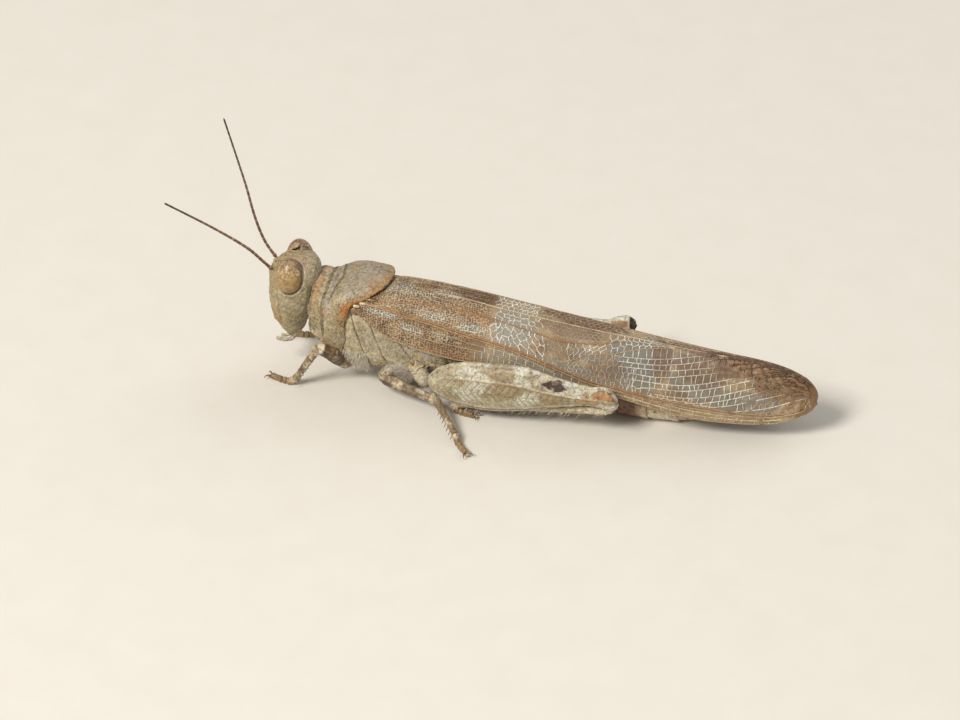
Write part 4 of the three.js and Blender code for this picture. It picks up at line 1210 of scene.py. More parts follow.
# %% Pronotum: furrows, beads and colours
def saddle():
    grid, turn, flap, behind = saddle_grid()
    x, a, z = np.moveaxis(grid, -1, 0)
    out = abs(a)
    on_back = soft_step(z, 5.35, 6.15)
    first = hump(x, 3.66 + 0.05 * np.sin(z * 2), 0.024) * soft_step(z, 3.3, 3.8)
    second = hump(x, 4.42 - 0.2 * out, 0.026) * soft_step(z, 5.5, 5.95)
    third = hump(x, 3.98 - 0.05 * out, 0.022) * soft_step(z, 5.3, 5.9) * 0.6
    front_half = soft_step(x, 4.5 - 0.2 * out, 4.2 - 0.2 * out)
    beads = hump(x, 2.82, 0.06) * (0.5 + 0.5 * np.cos(turn * 2 * math.pi / 0.1))
    height = 0.04 * hump(x, 2.82, 0.08) + 0.03 * beads - 0.045 * first - 0.045 * second - 0.02 * third
    height += 0.04 * hump(behind, 0.06, 0.08) + 0.035 * grain(grid, 0.55, 30) * (0.35 + front_half)
    height += 0.016 * grain(grid, 0.14, 31) + 0.03 * hump(a, 0, 0.05) * (1 - first) * (1 - second)
    height += 0.04 * hump(out, 1.25, 0.3) * hump(x, 5.5, 0.7) * on_back + 0.05 * hump(flap, 0.97, 0.05)
    grid = grid - normals(grid, False) * height[..., None]
    rear = hump(behind, 0.0, 0.42)
    warm = rear * (0.3 * soft_step(z, 3.4, 4.4) + 1.1 * hump(z, 5.45, 0.8))
    warm += 0.45 * hump(x, 3.1, 0.3) * soft_step(z, 4.2, 5.0) * (0.6 + 0.4 * grain(grid, 0.5, 33))
    warm += 0.15 * soft_step(z, 4.0, 2.6) * soft_step(x, 3.6, 4.6) + 0.3 * clouds(grid, 0.8, 34, 0.2, 0.8)
    # the last term is painted shadow along the front margin, in the gap between the head and the saddle
    dark = 0.6 * first + 0.65 * second + 0.3 * third + 0.6 * hump(x, 2.92, 0.03)
    dark = dark + 0.2 * hump(behind, 0.0, 0.04)
    dark += 0.45 * clouds(grid, 0.2, 36, 0.3, 0.8) * (0.4 + 0.6 * front_half)
    lilac = 0.85 * soft_step(x, 4.3, 5.0) * on_back * (1 - rear) + 0.35 * soft_step(z, 4.4, 3.4)
    lilac += 0.9 * window(x, 3.7, 3.8, 4.2, 4.3) * soft_step(z, 4.4, 5.2)
    pale = 0.5 * clouds(grid, 0.5, 35, 0.25, 0.8) * front_half + 0.5 * hump(z, 5.9, 0.3) * hump(x, 4.9, 0.3)
    # the first term is painted light on the low lobe, which faces down, away from the lamps
    pale += 0.45 * soft_step(z, 4.0, 2.8) * soft_step(x, 3.8, 4.6) + 0.35 * on_back * soft_step(x, 3.8, 3.4)
    pale += 0.8 * hump(np.hypot(x - 3.9, z - 4.35), 0, 0.13) + 0.5 * beads
    pale += 0.5 * hump(flap, 0.97, 0.06) * soft_step(z, 3.6, 2.9)
    # warm may pass 1: the hind margin's orange is its own, and laid on past full it is also painted light in
    # the notch that the saddle's rim shades
    return plate(grid, SADDLE_THICK, -1, warm=np.clip(warm, 0, 1.5), dark=dark, lilac=lilac, pale=pale)


make("saddle", saddle(), armour, "cuticle", "pronotum")
print("saddle faces:", made[-1][1])

# %% [markdown]
# ## The sides of the thorax
# Behind the saddle the wall of the thorax is built from slanting plates, braced by seams that fold
# inwards. The seams run down and backwards from the wing hinge to the hips and look like dark pen
# lines. The plates between them are slightly pillowed, pitted like leather and clouded with grey.
# Cutting the wall into plates would open gaps that the animal does not have, so the seams are grooves
# along lines, with a low swell on each side.

# %% Thorax: its skin and its seams
CHEST = (4.5, 10.9)
chest_ribs = through([
    # x, centre height, half width, half height
    [4.5, 3.55, 1.86, 2.2], [5.0, 3.5, 2.02, 2.3], [5.5, 3.45, 2.1, 2.35], [8.0, 3.3, 2.15, 2.35],
    [9.4, 3.25, 2.1, 2.2], [10.9, 3.15, 1.9, 2.0],
])
# Each seam as (x, z) of its upper and lower end.
SEAMS = [((5.3, 4.75), (6.15, 2.2)), ((6.45, 4.4), (7.25, 2.3)), ((8.0, 3.85), (9.05, 2.2))]
PALE_SEAM = ((6.9, 2.95), (8.6, 1.65))
BELTS = (7.15, 9.0, 10.55)  # x of the folds between the plates of the underside


def beside(x, z, line):
    """Distance of places on the flank from a seam, positive behind it."""
    (x0, z0), (x1, z1) = line
    return ((x - x0) * (z0 - z1) + (z - z0) * (x1 - x0)) / math.hypot(x1 - x0, z1 - z0)


def seams_at(x, z):
    """Relief and darkness of the seams."""
    height, dark = np.zeros_like(z), np.zeros_like(z)
    for seam in SEAMS:
        (_, top), (_, foot) = seam
        away = beside(x, z, seam)
        ends = window(z, foot - 0.5, foot, top + 0.1, top + 0.7)
        height += ends * (-0.12 * hump(away, 0, 0.035) + 0.05 * hump(away, 0.16, 0.13))
        dark += ends * hump(away, 0, 0.028)
    return height, dark


def chest():
    t, angle = lay_out(210, 200)
    x = mix(*CHEST, t)
    centre, half_width, half_height = chest_ribs(x)
    shut = mix(0.8, 1, closing(t, 0.06))
    a, b = oval(angle, half_width * shut, half_height * shut, 2.7)
    keel = 1 - 0.14 * np.maximum(0, -b / half_height) ** 2
    grid = np.stack([x, a * keel, centre + b], -1)
    z = grid[..., 2]
    flank = soft_step(abs(np.cos(angle)), 0.3, 0.75)
    height, dark = (flank * part for part in seams_at(x, z))
    pale_line = flank * hump(beside(x, z, PALE_SEAM), 0, 0.06) * window(z, 1.3, 1.7, 2.9, 3.2)
    pale_line = pale_line * soft_step(x, 6.4, 7.0)
    height += 0.03 * grain(grid, 0.5, 40) + 0.018 * grain(grid, 0.16, 41) + 0.05 * pale_line
    height -= 0.12 * soft_step(z, 1.6, 1.1) * sum(hump(x, belt, 0.1) for belt in BELTS)
    folds = grain(grid * [1, 1, 1.4], 0.5, 47)
    hip_skin = hump(x, 6.9, 0.55) * hump(z, 1.75, 0.4) + hump(x, 9.7, 0.8) * hump(z, 2.3, 0.6)
    hip_skin = hip_skin * soft_step(abs(np.cos(angle)), 0.1, 0.4)
    height += hip_skin * (0.07 * hump(folds, 0.3, 0.2) - 0.08 * hump(folds, 0, 0.1))
    # the creases of the hip skin's folds are painted dark as shade
    dark += 0.7 * hip_skin * hump(folds, 0, 0.08) + 0.3 * clouds(grid, 0.22, 46, 0.3, 0.8)
    warm = 0.8 * hip_skin * hump(folds, 0.12, 0.14)
    warm += 0.35 * clouds(grid, 0.9, 45, 0.3, 0.9) * soft_step(z, 2.4, 3.4)
    grey = soft_step(np.hypot((x - 9.2) / 0.9, (z - 3.3) / 0.6), 1.2, 0.7)
    lilac = 0.9 * soft_step(z, 2.7, 1.9) + 0.7 * grey + 0.8 * hip_skin + 0.35
    lilac = lilac * clouds(grid, 1.1, 44, -0.8, 0.3)
    pale = 0.75 * pale_line + 0.8 * hip_skin * hump(folds, 0.35, 0.16)
    pale = pale + 0.35 * clouds(grid, 0.6, 43, 0.2, 0.8)
    pale += 0.7 * hump(x, 5.4, 0.2) * hump(z, 5.0, 0.3)
    return tube(raised(grid, height), dark=dark, warm=warm, pale=pale, lilac=lilac)


make("chest_plates", chest(), side_plates, "pleura", "thorax")
print("chest faces:", made[-1][1])

# %% [markdown]
# ## Wing hinges
# At the root of each forewing sit a few hard, shiny knuckles that lock the wing when it is folded. They
# lie half sunk in the notch behind the saddle: a brown bean above, and cream and brown ones where the
# radial vein starts. Each is a free pebble of cuticle on the animal, so a few small pods make them
# better than relief on the wing could.

# %% Hinges
HINGE_BEADS = [
    # centre as (x, out, z), half sizes, dark, pale
    ((6.35, 1.62, 6.02), (0.4, 0.13, 0.1), 0.55, 0.0), ((5.95, 1.86, 5.86), (0.24, 0.1, 0.09), 0.0, 0.8),
    ((5.6, 2.02, 5.72), (0.2, 0.08, 0.09), 0.0, 0.85), ((5.8, 2.06, 5.48), (0.22, 0.08, 0.13), 0.6, 0.0),
    ((5.45, 2.02, 5.38), (0.2, 0.08, 0.2), 0.5, 0.0),
]
# Hinge cuticle is rubbed bright by the wing, so it shines like a polished seed.
knuckle = cuticle(
    "polished_hinge_cuticle", "A08660", "8A6E48",
    [("warm", "A06A3A", 0.8), ("pale", "D2C49C", 0.9), ("dark", "4A3020", 0.9)],
    pits=0.0, cloud_mm=0.4, rough=0.35, coat=0.4, coat_rough=0.15,
)


def hinge(side):
    return joined(*[
        pod([x, side * out, z], half, along=18, around=20, dark=dark, pale=pale, warm=0.4)
        for (x, out, z), half, dark, pale in HINGE_BEADS
    ])


for name, side in SIDES:
    make(f"wing_hinge_{name}", hinge(side), knuckle, "forewing")
print("knuckles in a hinge:", len(HINGE_BEADS))

# %% [markdown]
# ## Abdomen
# The abdomen is a row of rings that slide into each other like a telescope. The back half of each ring
# is a hard back plate, the belly half a softer one, and a fold of thin skin joins them along the side.
# Each ring flares over the front of the next one. One long tube with grooves would look cast, so each
# ring is a skin of its own, made by the same function with its own place and number. The last piece
# carries two short feelers, the cerci, and the egg-laying valves.

# %% Rings
# Ringed cuticle is thin and springy: smoother than armour, with a slight waxy shine.
belly = cuticle(
    "flexible_ringed_cuticle", "B9A683", "A28C6A",
    [("warm", "8A5630", 0.9), ("pale", "CFC6AA", 0.85), ("dark", "3E2D1F", 0.9)],
    pits=0.35, pit_mm=0.19, cloud_mm=0.7, rough=0.5, coat=0.15,
)
belly_ribs = through([
    # x, centre height, half width, half height
    [10.1, 3.0, 1.8, 1.95], [14.0, 2.6, 1.95, 1.9], [18.0, 1.92, 1.92, 1.68], [21.0, 1.4, 1.85, 1.45],
    [24.2, 1.0, 1.35, 1.06], [25.3, 0.95, 0.9, 0.85], [25.9, 0.95, 0.4, 0.4],
])
RING_EDGES = np.linspace(10.1, 24.0, 9)
RING_OVERLAP = 0.22


def ring(start, end, number):
    t, angle = lay_out(54, 120)
    x = mix(start - RING_OVERLAP, end + 0.02, t)
    centre, half_width, half_height = belly_ribs(x)
    flare = 0.9 + 0.075 * soft_step(t, 0.0, 0.3) + 0.03 * soft_step(t, 0.7, 1.0)
    flare -= 0.04 * soft_step(t, 0.97, 1)
    a, b = oval(angle, half_width * flare, half_height * flare)
    grid = np.stack([x, a, centre + b], -1)
    high = b / half_height
    fold = hump(high, -0.22, 0.05) + 0.7 * hump(high, -0.36, 0.04)
    breathing_hole = np.hypot((x - mix(start, end, 0.3)) / 0.09, (high + 0.08) / 0.05)
    height = 0.015 * grain(grid, 0.4, 50 + number) - 0.09 * fold - 0.05 * soft_step(breathing_hole, 1.2, 0.5)
    height += 0.012 * np.sin(t * 46) * soft_step(t, 0.25, 0.6)
    # one ring near the end wears a rust-brown girdle above the belly, darkened further by painted shadow of
    # the thigh
    over_belly = soft_step(high, -0.98, -0.8)
    warm = 0.6 * soft_step(high, 0.15, 0.7) + 0.5 * hump(t, 0.95, 0.05)
    warm += 0.4 * clouds(grid, 0.5, 51, 0.1, 0.7)
    warm += 1.4 * hump(x, 21.15, 0.8) * over_belly
    # painted shade: darker at the front of each ring, tucked under the edge of the ring before; the breathing
    # hole is dark in life
    dark = 0.85 * soft_step(breathing_hole, 1.3, 0.8) + 0.35 * soft_step(t, 0.16, 0.1)
    dark += 0.6 * hump(t, 0.6, 0.06) * hump(high, 0.02, 0.05)
    dark += 0.35 * hump(high, 0.3, 0.12) * hump(t, 0.3, 0.2)
    # painted shadow of the hind thigh over the girdle behind the knee
    dark += 0.6 * window(x, 19.8, 20.4, 21.4, 22.0) * over_belly + 0.15 * clouds(grid, 0.25, 52, 0.3, 0.8)
    pale = 0.7 * soft_step(high, 0.0, -0.3) + 0.5 * hump(t, 0.9, 0.04)
    pale = pale * (0.85 * soft_step(x, 21.2, 22.2) + soft_step(x, 20.6, 20.0))
    pale += 0.5 * soft_step(x, 21.9, 22.6)
    return tube(above_floor(raised(grid, height), 0.01), warm=warm, dark=dark, pale=pale)


for k, (start, end) in enumerate(zip(RING_EDGES[:-1], RING_EDGES[1:])):
    make(f"ring_{k + 1}", ring(start, end, k), belly, "abdomen", f"abdomen_{k + 1}")
print("rings from", RING_EDGES[0], "to", RING_EDGES[-1])


# %% Tail: last plates, cerci and valves
def spike(points, radius, sharp, **look):
    """A horn of the tail. look gives each mask as a function of the share of its length."""
    size = lambda t: (radius * (1 - 0.85 * t**sharp) * closing(mix(0.1, 1, t), 0.08, 0.2),) * 2
    grid, t, _ = limb(points, size, along=30, around=18)
    return tube(grid, **{name: strength(t) for name, strength in look.items()})


def tail():
    t, angle = lay_out(60, 90)
    x = mix(23.8, 25.45, t)
    centre, half_width, half_height = belly_ribs(x)
    shut = 0.93 * np.sqrt(np.clip(1 - (np.clip(t - 0.55, 0, 1) / 0.46) ** 2, 0.02, 1))
    a, b = oval(angle, half_width * shut, half_height * shut)
    grid = np.stack([x, a, centre + b], -1)
    high = b / half_height
    height = 0.02 * grain(grid, 0.35, 60) - 0.07 * hump(high, -0.2, 0.06) - 0.06 * hump(t, 0.42, 0.03)
    shapes = [tube(raised(grid, height), warm=0.5 * soft_step(high, 0.1, 0.6),
                   pale=0.5 * soft_step(high, 0, -0.4), dark=0.4 * hump(t, 0.42, 0.02))]
    tip_dark = lambda t: 0.95 * soft_step(t, 0.6, 0.95)
    for _, side in SIDES:
        cercus = [[24.9, side * 0.62, 1.35], [25.35, side * 0.72, 1.5], [25.75, side * 0.66, 1.58]]
        upper_valve = [[24.9, side * 0.24, 1.05], [25.5, side * 0.24, 1.12], [26.05, side * 0.2, 1.34]]
        lower_valve = [[24.8, side * 0.24, 0.8], [25.4, side * 0.25, 0.7], [26.0, side * 0.2, 0.5]]
        shapes += [
            spike(cercus, 0.13, 1.4, pale=lambda t: 0.4 + 0 * t),
            spike(upper_valve, 0.2, 2.2, warm=lambda t: 0.5 + 0 * t, dark=tip_dark),
            spike(lower_valve, 0.2, 2.2, warm=lambda t: 0.4 + 0 * t, dark=tip_dark),
        ]
    shapes.append(pod([25.3, 0, 1.42], [0.42, 0.36, 0.13], warm=0.4))
    return joined(*shapes)


make("tail_plates", tail(), belly, "abdomen", "abdomen_tip")
print("tail faces:", made[-1][1])

# %% [markdown]
# ## Folded hind wings
# The broad hind wings fold like fans and hide under the forewings. Only their pleats show from behind
# and below. Folding a real fan of cloth by simulation would take minutes for a strip that is hardly
# seen, so each one is a zigzag blade, with the creases worked out from a formula.

# %% Fans
PLEATS = 6
FAN_ENDS = (8.5, 30.4)


def fan(side):
    u, v = np.meshgrid(np.linspace(0, 1, 90), np.linspace(0, 1, 49), indexing="ij")
    x = mix(*FAN_ENDS, u)
    opened = np.sqrt(np.clip(1 - (np.clip(u - 0.7, 0, 1) / 0.31) ** 2, 0.02, 1))
    depth = mix(1.5, 1.9, u) * opened
    pleat = 0.1 * (2 * abs(((v * PLEATS) % 1) * 2 - 1) - 1)
    grid = np.stack([x, side * (0.36 + pleat), wing_ribs(x)[0] - 0.7 - 0.25 * u - v * depth], -1)
    creases = 0.5 * hump((v * 2 * PLEATS) % 1, 0.5, 0.2)
    return plate(grid, 0.05, -side, brown=creases, clear=0.7, row=x, rank=v * depth)


for name, side in SIDES:
    make(f"folded_fan_{name}", fan(side), membrane, "hindwing", f"hindwing_{name}")
print("pleats on each side:", PLEATS)

# %% [markdown]
# ## Walking legs
# A leg is a hip, a tiny ring, a thigh, a shin and a foot of three joints with two claws and a pad. Each
# part is a tube that swells and narrows where muscle or a hinge needs room. The knees overlap like
# armour, small spines guard the shins, and dark bands break up the outline. A skin modifier on a wire
# of the leg would round off the keels and hinges, so each part is its own grid, whose size follows its
# length. Spines and hairs are small closed cones, made many at once as arrays, because an export drops
# particle hair.

# %% Where the walking legs stand, and their finish
WALKING_LEGS = {
    # joints as [x, distance out from the midline, height]
    "fore": {
        "coxa": [4.75, 0.9, 2.2], "bend": [4.95, 1.15, 1.7], "hip": [5.05, 1.35, 1.25],
        "knee": [3.55, 2.85, 3.1], "ankle": [2.1, 2.5, 0.5], "toe": [0.65, 2.2, 0.2],
        "hip_radius": 0.5, "thigh_radius": 0.4,
    },
    "mid": {
        "coxa": [7.7, 1.5, 1.7], "bend": [7.35, 1.8, 1.4], "hip": [6.95, 1.98, 1.05],
        "knee": [10.6, 3.5, 1.12], "ankle": [12.2, 5.55, 0.5], "toe": [13.1, 6.75, 0.2],
        "hip_radius": 0.4, "thigh_radius": 0.36,
    },
}
SHIN_RADIUS = 0.26
# Leg cuticle is a hard, slightly waxed tube, speckled in clay tones, with a faint shine on its keels.
shin_and_hip = cuticle(
    "speckled_leg_cuticle", "93805F", "6B583F",
    [("warm", "A97A50", 0.85), ("pale", "D2C9AC", 0.9), ("dark", "4B3A2B", 0.9)],
    pits=0.6, pit_mm=0.17, cloud_mm=0.55, rough=0.52, coat=0.12,
)


def at(side, joint):
    return np.array([joint[0], side * joint[1], joint[2]], float)


def level_across(way):
    """The level direction square to a limb that runs along way."""
    return unit(np.cross(way, [0, 0, 1.0]))


print("left middle knee:", at(-1, WALKING_LEGS["mid"]["knee"]))

# %% Hips and thighs
def blotches(grid, t, seed, bands):
    """Masks for a camouflaged limb: dark bands, pale gaps and warm clouds."""
    wave = 0.5 * np.sin(t * bands * 2 * math.pi + seed)
    wave = wave + grain(grid, 0.5, seed) + 0.8 * grain(grid, 0.2, seed + 1)
    return {
        "dark": 0.7 * soft_step(wave, 0.45, 1.3),
        "pale": 0.7 * soft_step(-wave, 0.15, 1.1),
        "warm": 0.35 * clouds(grid, 0.9, seed + 3, 0.0, 0.7),
    }


def hip_piece(points, radius, fold_at, seed):
    """A swollen hip with a zone of wrinkled joint skin about fold_at."""
    def size(t):
        r = radius * mix(1.12, 0.75, t) * closing(mix(0.02, 0.98, t), 0.2)
        return r, r

    grid, t, angle = limb(points, size, along=90, around=60)
    zone = hump(t, fold_at, 0.3)
    folds = 0.9 * np.sin(t * 16 + angle * 0.5 + seed) + 1.3 * grain(grid, 0.45, seed)
    crease = hump(folds, 0, 0.22)
    height = 0.03 * grain(grid, 0.3, seed) + zone * (0.06 * hump(folds, 0.6, 0.35) - 0.08 * crease)
    pale = 0.8 * zone * hump(folds, 0.7, 0.3) + 0.25 * soft_step(t - fold_at, 0.1, 0.3)
    # the creases of the joint skin are painted dark as shade
    return tube(above_floor(raised(grid, height), 0.02), lilac=0.8 * (1 - zone) + 0.15, pale=pale,
                warm=0.9 * zone * hump(folds, 0.25, 0.3), dark=0.95 * zone * crease)


def thigh_piece(start, end, radius, seed):
    def size(t):
        swell = mix(1.0, 0.72, soft_step(t, 0.35, 0.85))
        swell = swell + 0.12 * hump(t, 0.96, 0.05) - 0.25 * hump(t, 0.03, 0.04)
        r = radius * swell * closing(mix(0.02, 0.985, t), 0.08)
        return r * 0.8, r

    grid, t, angle = limb([start, end], size, along=90, around=40)
    high = np.sin(angle)
    keels = hump(high, 1, 0.05) + hump(high, -1, 0.05) + hump(high, 0.3, 0.08)
    height = 0.045 * keels * closing(t, 0.2) + 0.015 * grain(grid, 0.25, seed)
    height += 0.07 * hump(t, 0.93, 0.02) * (abs(np.cos(angle)) > 0.3)
    masks = blotches(grid, t, seed, 2.5)
    streak = clouds(np.stack([t * 2.2, 0.5 * np.cos(angle), 0.5 * high], -1), 0.3, seed + 5, -0.1, 0.5)
    dark = (masks["dark"] + streak * soft_step(high, 0.95, 0.5)) * soft_step(t, 0.92, 0.86)
    masks["dark"] = dark + 0.35 * soft_step(high, -0.5, -1)
    masks["pale"] += 0.8 * soft_step(t, 0.9, 0.95)
    masks["warm"] += 0.8 * hump(t, 0.9, 0.025) + 0.5 * soft_step(t, 0.1, 0.0)
    return tube(raised(grid, height), **masks)


print("a walking thigh narrows to 0.72 of its width")


# %% Hairs, spines and claws: many thin cones at once
def needles(roots, ways, lengths, radius, bend=(0, 0, 0), sections=4, sides=4, sharp=1.0):
    """Closed tapering needles. bend moves each tip, in mm; sharp above 1 keeps them thick for longer."""
    roots, ways = np.asarray(roots, float), unit(np.asarray(ways, float))
    count = len(roots)
    sizes = (np.broadcast_to(size, count).astype(float) for size in (lengths, radius))
    lengths, radius = (size[:, None, None, None] for size in sizes)
    side = unit(np.cross(ways, ways[:, [1, 2, 0]] + 0.137))
    other = np.cross(ways, side)
    u = np.linspace(0, 1, sections)[None, :, None, None]
    angle = np.linspace(0, 2 * math.pi, sides, endpoint=False)[None, None, :, None]
    line = roots[:, None, None] + ways[:, None, None] * lengths * u
    line = line + np.broadcast_to(bend, (count, 3))[:, None, None] * u * u
    ring_points = side[:, None, None] * np.cos(angle) + other[:, None, None] * np.sin(angle)
    points = line + ring_points * radius * (1 - 0.93 * u**sharp)
    index = np.arange(count * sections * sides).reshape(count, sections, sides)
    nxt = np.roll(index, -1, axis=2)
    quads = np.stack([index[:, :-1], nxt[:, :-1], nxt[:, 1:], index[:, 1:]], -1).reshape(-1, 4)
    ends = [tuple(e) for e in np.concatenate([index[:, 0, ::-1], index[:, -1]]).tolist()]
    spread = roots[:, [0, 2]] / MAP_LENGTH + 0.5 + roots[:, [1, 1]] * [0.003, 0.001]
    patch = 0.0015 * np.stack([np.cos(angle), np.sin(angle)], -1)[..., 0, :] * np.ones((1, sections, 1, 1))
    spots = np.clip(spread[:, None, None] + patch, 0, 1).reshape(-1, 2)
    tips = np.broadcast_to(u[..., 0], index.shape)
    return Shape(points, [tuple(q) for q in quads.tolist()] + ends, {"tip": tips}, spots)


print("faces of one needle:", len(needles([[0, 0, 0]], [[0, 0, 1]], 1, 0.1).faces))


# %% Shins and feet
def shin_piece(start, end, radius, seed, spines=7, spine=0.3, bands=2.5):
    start, end = np.asarray(start, float), np.asarray(end, float)

    def size(t):
        swell = mix(0.95, 0.72, soft_step(t, 0.1, 0.9))
        swell = swell + 0.22 * hump(t, 1.0, 0.06) + 0.1 * hump(t, 0.05, 0.05)
        r = radius * swell * closing(mix(0.02, 0.99, t), 0.035)
        return r * 0.85, r

    grid, t, _ = limb([start, end], size, along=100, around=28)
    masks = blotches(grid, t, seed, bands)
    masks["pale"] += 0.4 * soft_step(t, 0.12, 0.02)
    body = tube(raised(grid, 0.01 * grain(grid, 0.2, seed)), **masks)
    # two rows of spines on the lower side, pale with dark tips
    way = unit(end - start)
    across = level_across(way)
    under = unit(np.cross(way, across))
    shares = np.repeat(np.linspace(0.28, 0.97, spines), 2)
    aside = across * np.tile([-1.0, 1.0], spines)[:, None]
    roots = start + (end - start) * shares[:, None] + (under * 0.45 + aside * 0.5) * radius
    ways = way * 0.75 + under * 0.55 + aside * 0.75
    needle = needles(roots, ways, spine * (0.75 + 0.35 * shares), 0.04, sections=5, sides=6, sharp=1.6)
    tips = needle.masks["tip"]
    needle.masks = {"dark": 0.95 * soft_step(tips, 0.45, 0.85), "pale": 0.7 * (tips < 0.5)}
    needle.spots = None
    return joined(body, needle)


def claw_piece(tip, way, across):
    size = lambda t: (0.065 * (1 - 0.8 * t) * closing(mix(0.1, 1, t), 0.1),) * 2
    points = [tip + across * 0.08, tip + way * 0.2 + across * 0.22 + [0, 0, 0.09],
              tip + way * 0.36 + across * 0.3 + [0, 0, -0.08]]
    grid, t, _ = limb(points, size, along=24, around=14)
    return tube(above_floor(grid, 0.012), dark=0.9 * soft_step(t, 0.25, 0.7), warm=0.6)


def foot_piece(ankle, toe, radius):
    ankle, toe = np.asarray(ankle, float), np.asarray(toe, float)
    heel = mix(ankle, toe, 0.3)
    heel[2] = 0.2
    way = unit((toe - heel) * [1, 1, 0])
    across = level_across(way)
    tip = toe + way * 0.06 + [0, 0, 0.03]

    def size(t):
        pinch = 1 - 0.32 * (hump(t, 0.4, 0.025) + hump(t, 0.58, 0.025)) + 0.12 * hump(t, 1, 0.08)
        r = radius * mix(0.86, 0.66, t) * pinch * closing(mix(0.03, 0.98, t), 0.07)
        return r * 0.85, r

    grid, t, angle = limb([ankle, heel, tip], size, along=110, around=26)
    pads = hump(t, 0.32, 0.06) + hump(t, 0.5, 0.05) + hump(t, 0.64, 0.05)
    pads = pads * soft_step(-np.sin(angle), 0.3, 0.9)
    dark = 0.6 * hump(t, 0.4, 0.03) + 0.6 * hump(t, 0.58, 0.03) + 0.25 * soft_step(t, 0.7, 1)
    sole = above_floor(raised(grid, 0.05 * pads), 0.0)
    return joined(
        tube(sole, dark=dark, pale=0.6 * soft_step(t, 0.3, 0.1) + 0.5 * pads, warm=0.3),
        pod(tip + way * 0.12 - [0, 0, 0.05], [0.15, 0.11, 0.06], 14, 16, pale=0.7),
        claw_piece(tip, way, -across),
        claw_piece(tip, way, across),
    )


print("claws on a foot: 2")


# %% Build the walking legs
def walking_leg(name, side, leg, parts, seed):
    joints = ("coxa", "bend", "hip", "knee", "ankle", "toe")
    coxa, bend, hip, knee, ankle, toe = (at(side, parts[joint]) for joint in joints)
    end = f"{leg}_{name}"
    hip_shape = hip_piece([coxa, bend, hip], parts["hip_radius"], 0.8, seed)
    if leg == "mid":
        socket_plate = pod(at(side, [8.1, 1.55, 1.6]), [0.78, 0.45, 0.9], 50, 60, square=4.0, lean=-0.2,
                           lilac=0.95, dark=0.1)
        hip_shape = joined(hip_shape, socket_plate)
    thigh_shape = thigh_piece(hip, knee, parts["thigh_radius"], seed + 1)
    make(f"hip_{end}", hip_shape, side_plates, "leg", f"coxa_{end}")
    make(f"thigh_{end}", thigh_shape, shin_and_hip, "leg", f"femur_{end}")
    make(f"shin_{end}", shin_piece(knee, ankle, SHIN_RADIUS, seed + 2), shin_and_hip, "leg", f"tibia_{end}")
    make(f"foot_{end}", foot_piece(ankle, toe, SHIN_RADIUS), shin_and_hip, "leg", f"tarsus_{end}")


for s, (name, side) in enumerate(SIDES):
    for k, (leg, parts) in enumerate(WALKING_LEGS.items()):
        walking_leg(name, side, leg, parts, 70 + 10 * k + 3 * s)
print("walking leg pieces:", sum("fore" in m[0] or "mid" in m[0] for m in made))

# %% [markdown]
# ## Jumping thighs
# The hind thigh holds the jumping muscle. Its outer face is a flat field framed by fine keels. Inside
# the frame a herringbone of low ridges marks where the muscle fibres fasten, with its points towards
# the body. Ivory, tan and dark brown patches run across it at a slant, and the knee ends in a rusty
# crescent over a pale lobe. The ridges could be a bump pattern, but light from the side shows their
# edges, so the skin is fine enough to carry them as real relief.

# %% Jumping thigh: its skin
THIGH_START = [10.0, 2.85, 1.95]
HIND_KNEES = {"left": [21.0, 3.3, 2.6], "right": [20.5, 3.35, 3.35]}
THIGH_SQUARE = 1.8
HERRINGBONE_MM = 0.4
LOW_KEEL = -0.78
thigh_ribs = through([
    # share of the length, half depth, half thickness
    [0, 0.22, 0.2], [0.02, 0.52, 0.3], [0.05, 0.84, 0.4], [0.16, 1.3, 0.58], [0.32, 1.45, 0.66],
    [0.5, 1.2, 0.6], [0.68, 0.74, 0.46], [0.84, 0.42, 0.36], [0.92, 0.46, 0.38], [0.97, 0.47, 0.38],
    [0.99, 0.4, 0.34], [1, 0.12, 0.12],
])
# Thigh cuticle is stretched thin over white muscle: ivory, smooth, with a soft waxy shine.
thigh = cuticle(
    "ivory_thigh_cuticle", "B5AE95", "A19879",
    [("tan", "826C45", 0.85), ("pale", "C4C5B8", 0.8), ("warm", "A06B38", 0.85), ("dark", "331C05", 1.0)],
    pits=0.5, pit_mm=0.17, pit_tone="6E5A3E", cloud_mm=0.6, rough=0.5, coat=0.15,
)


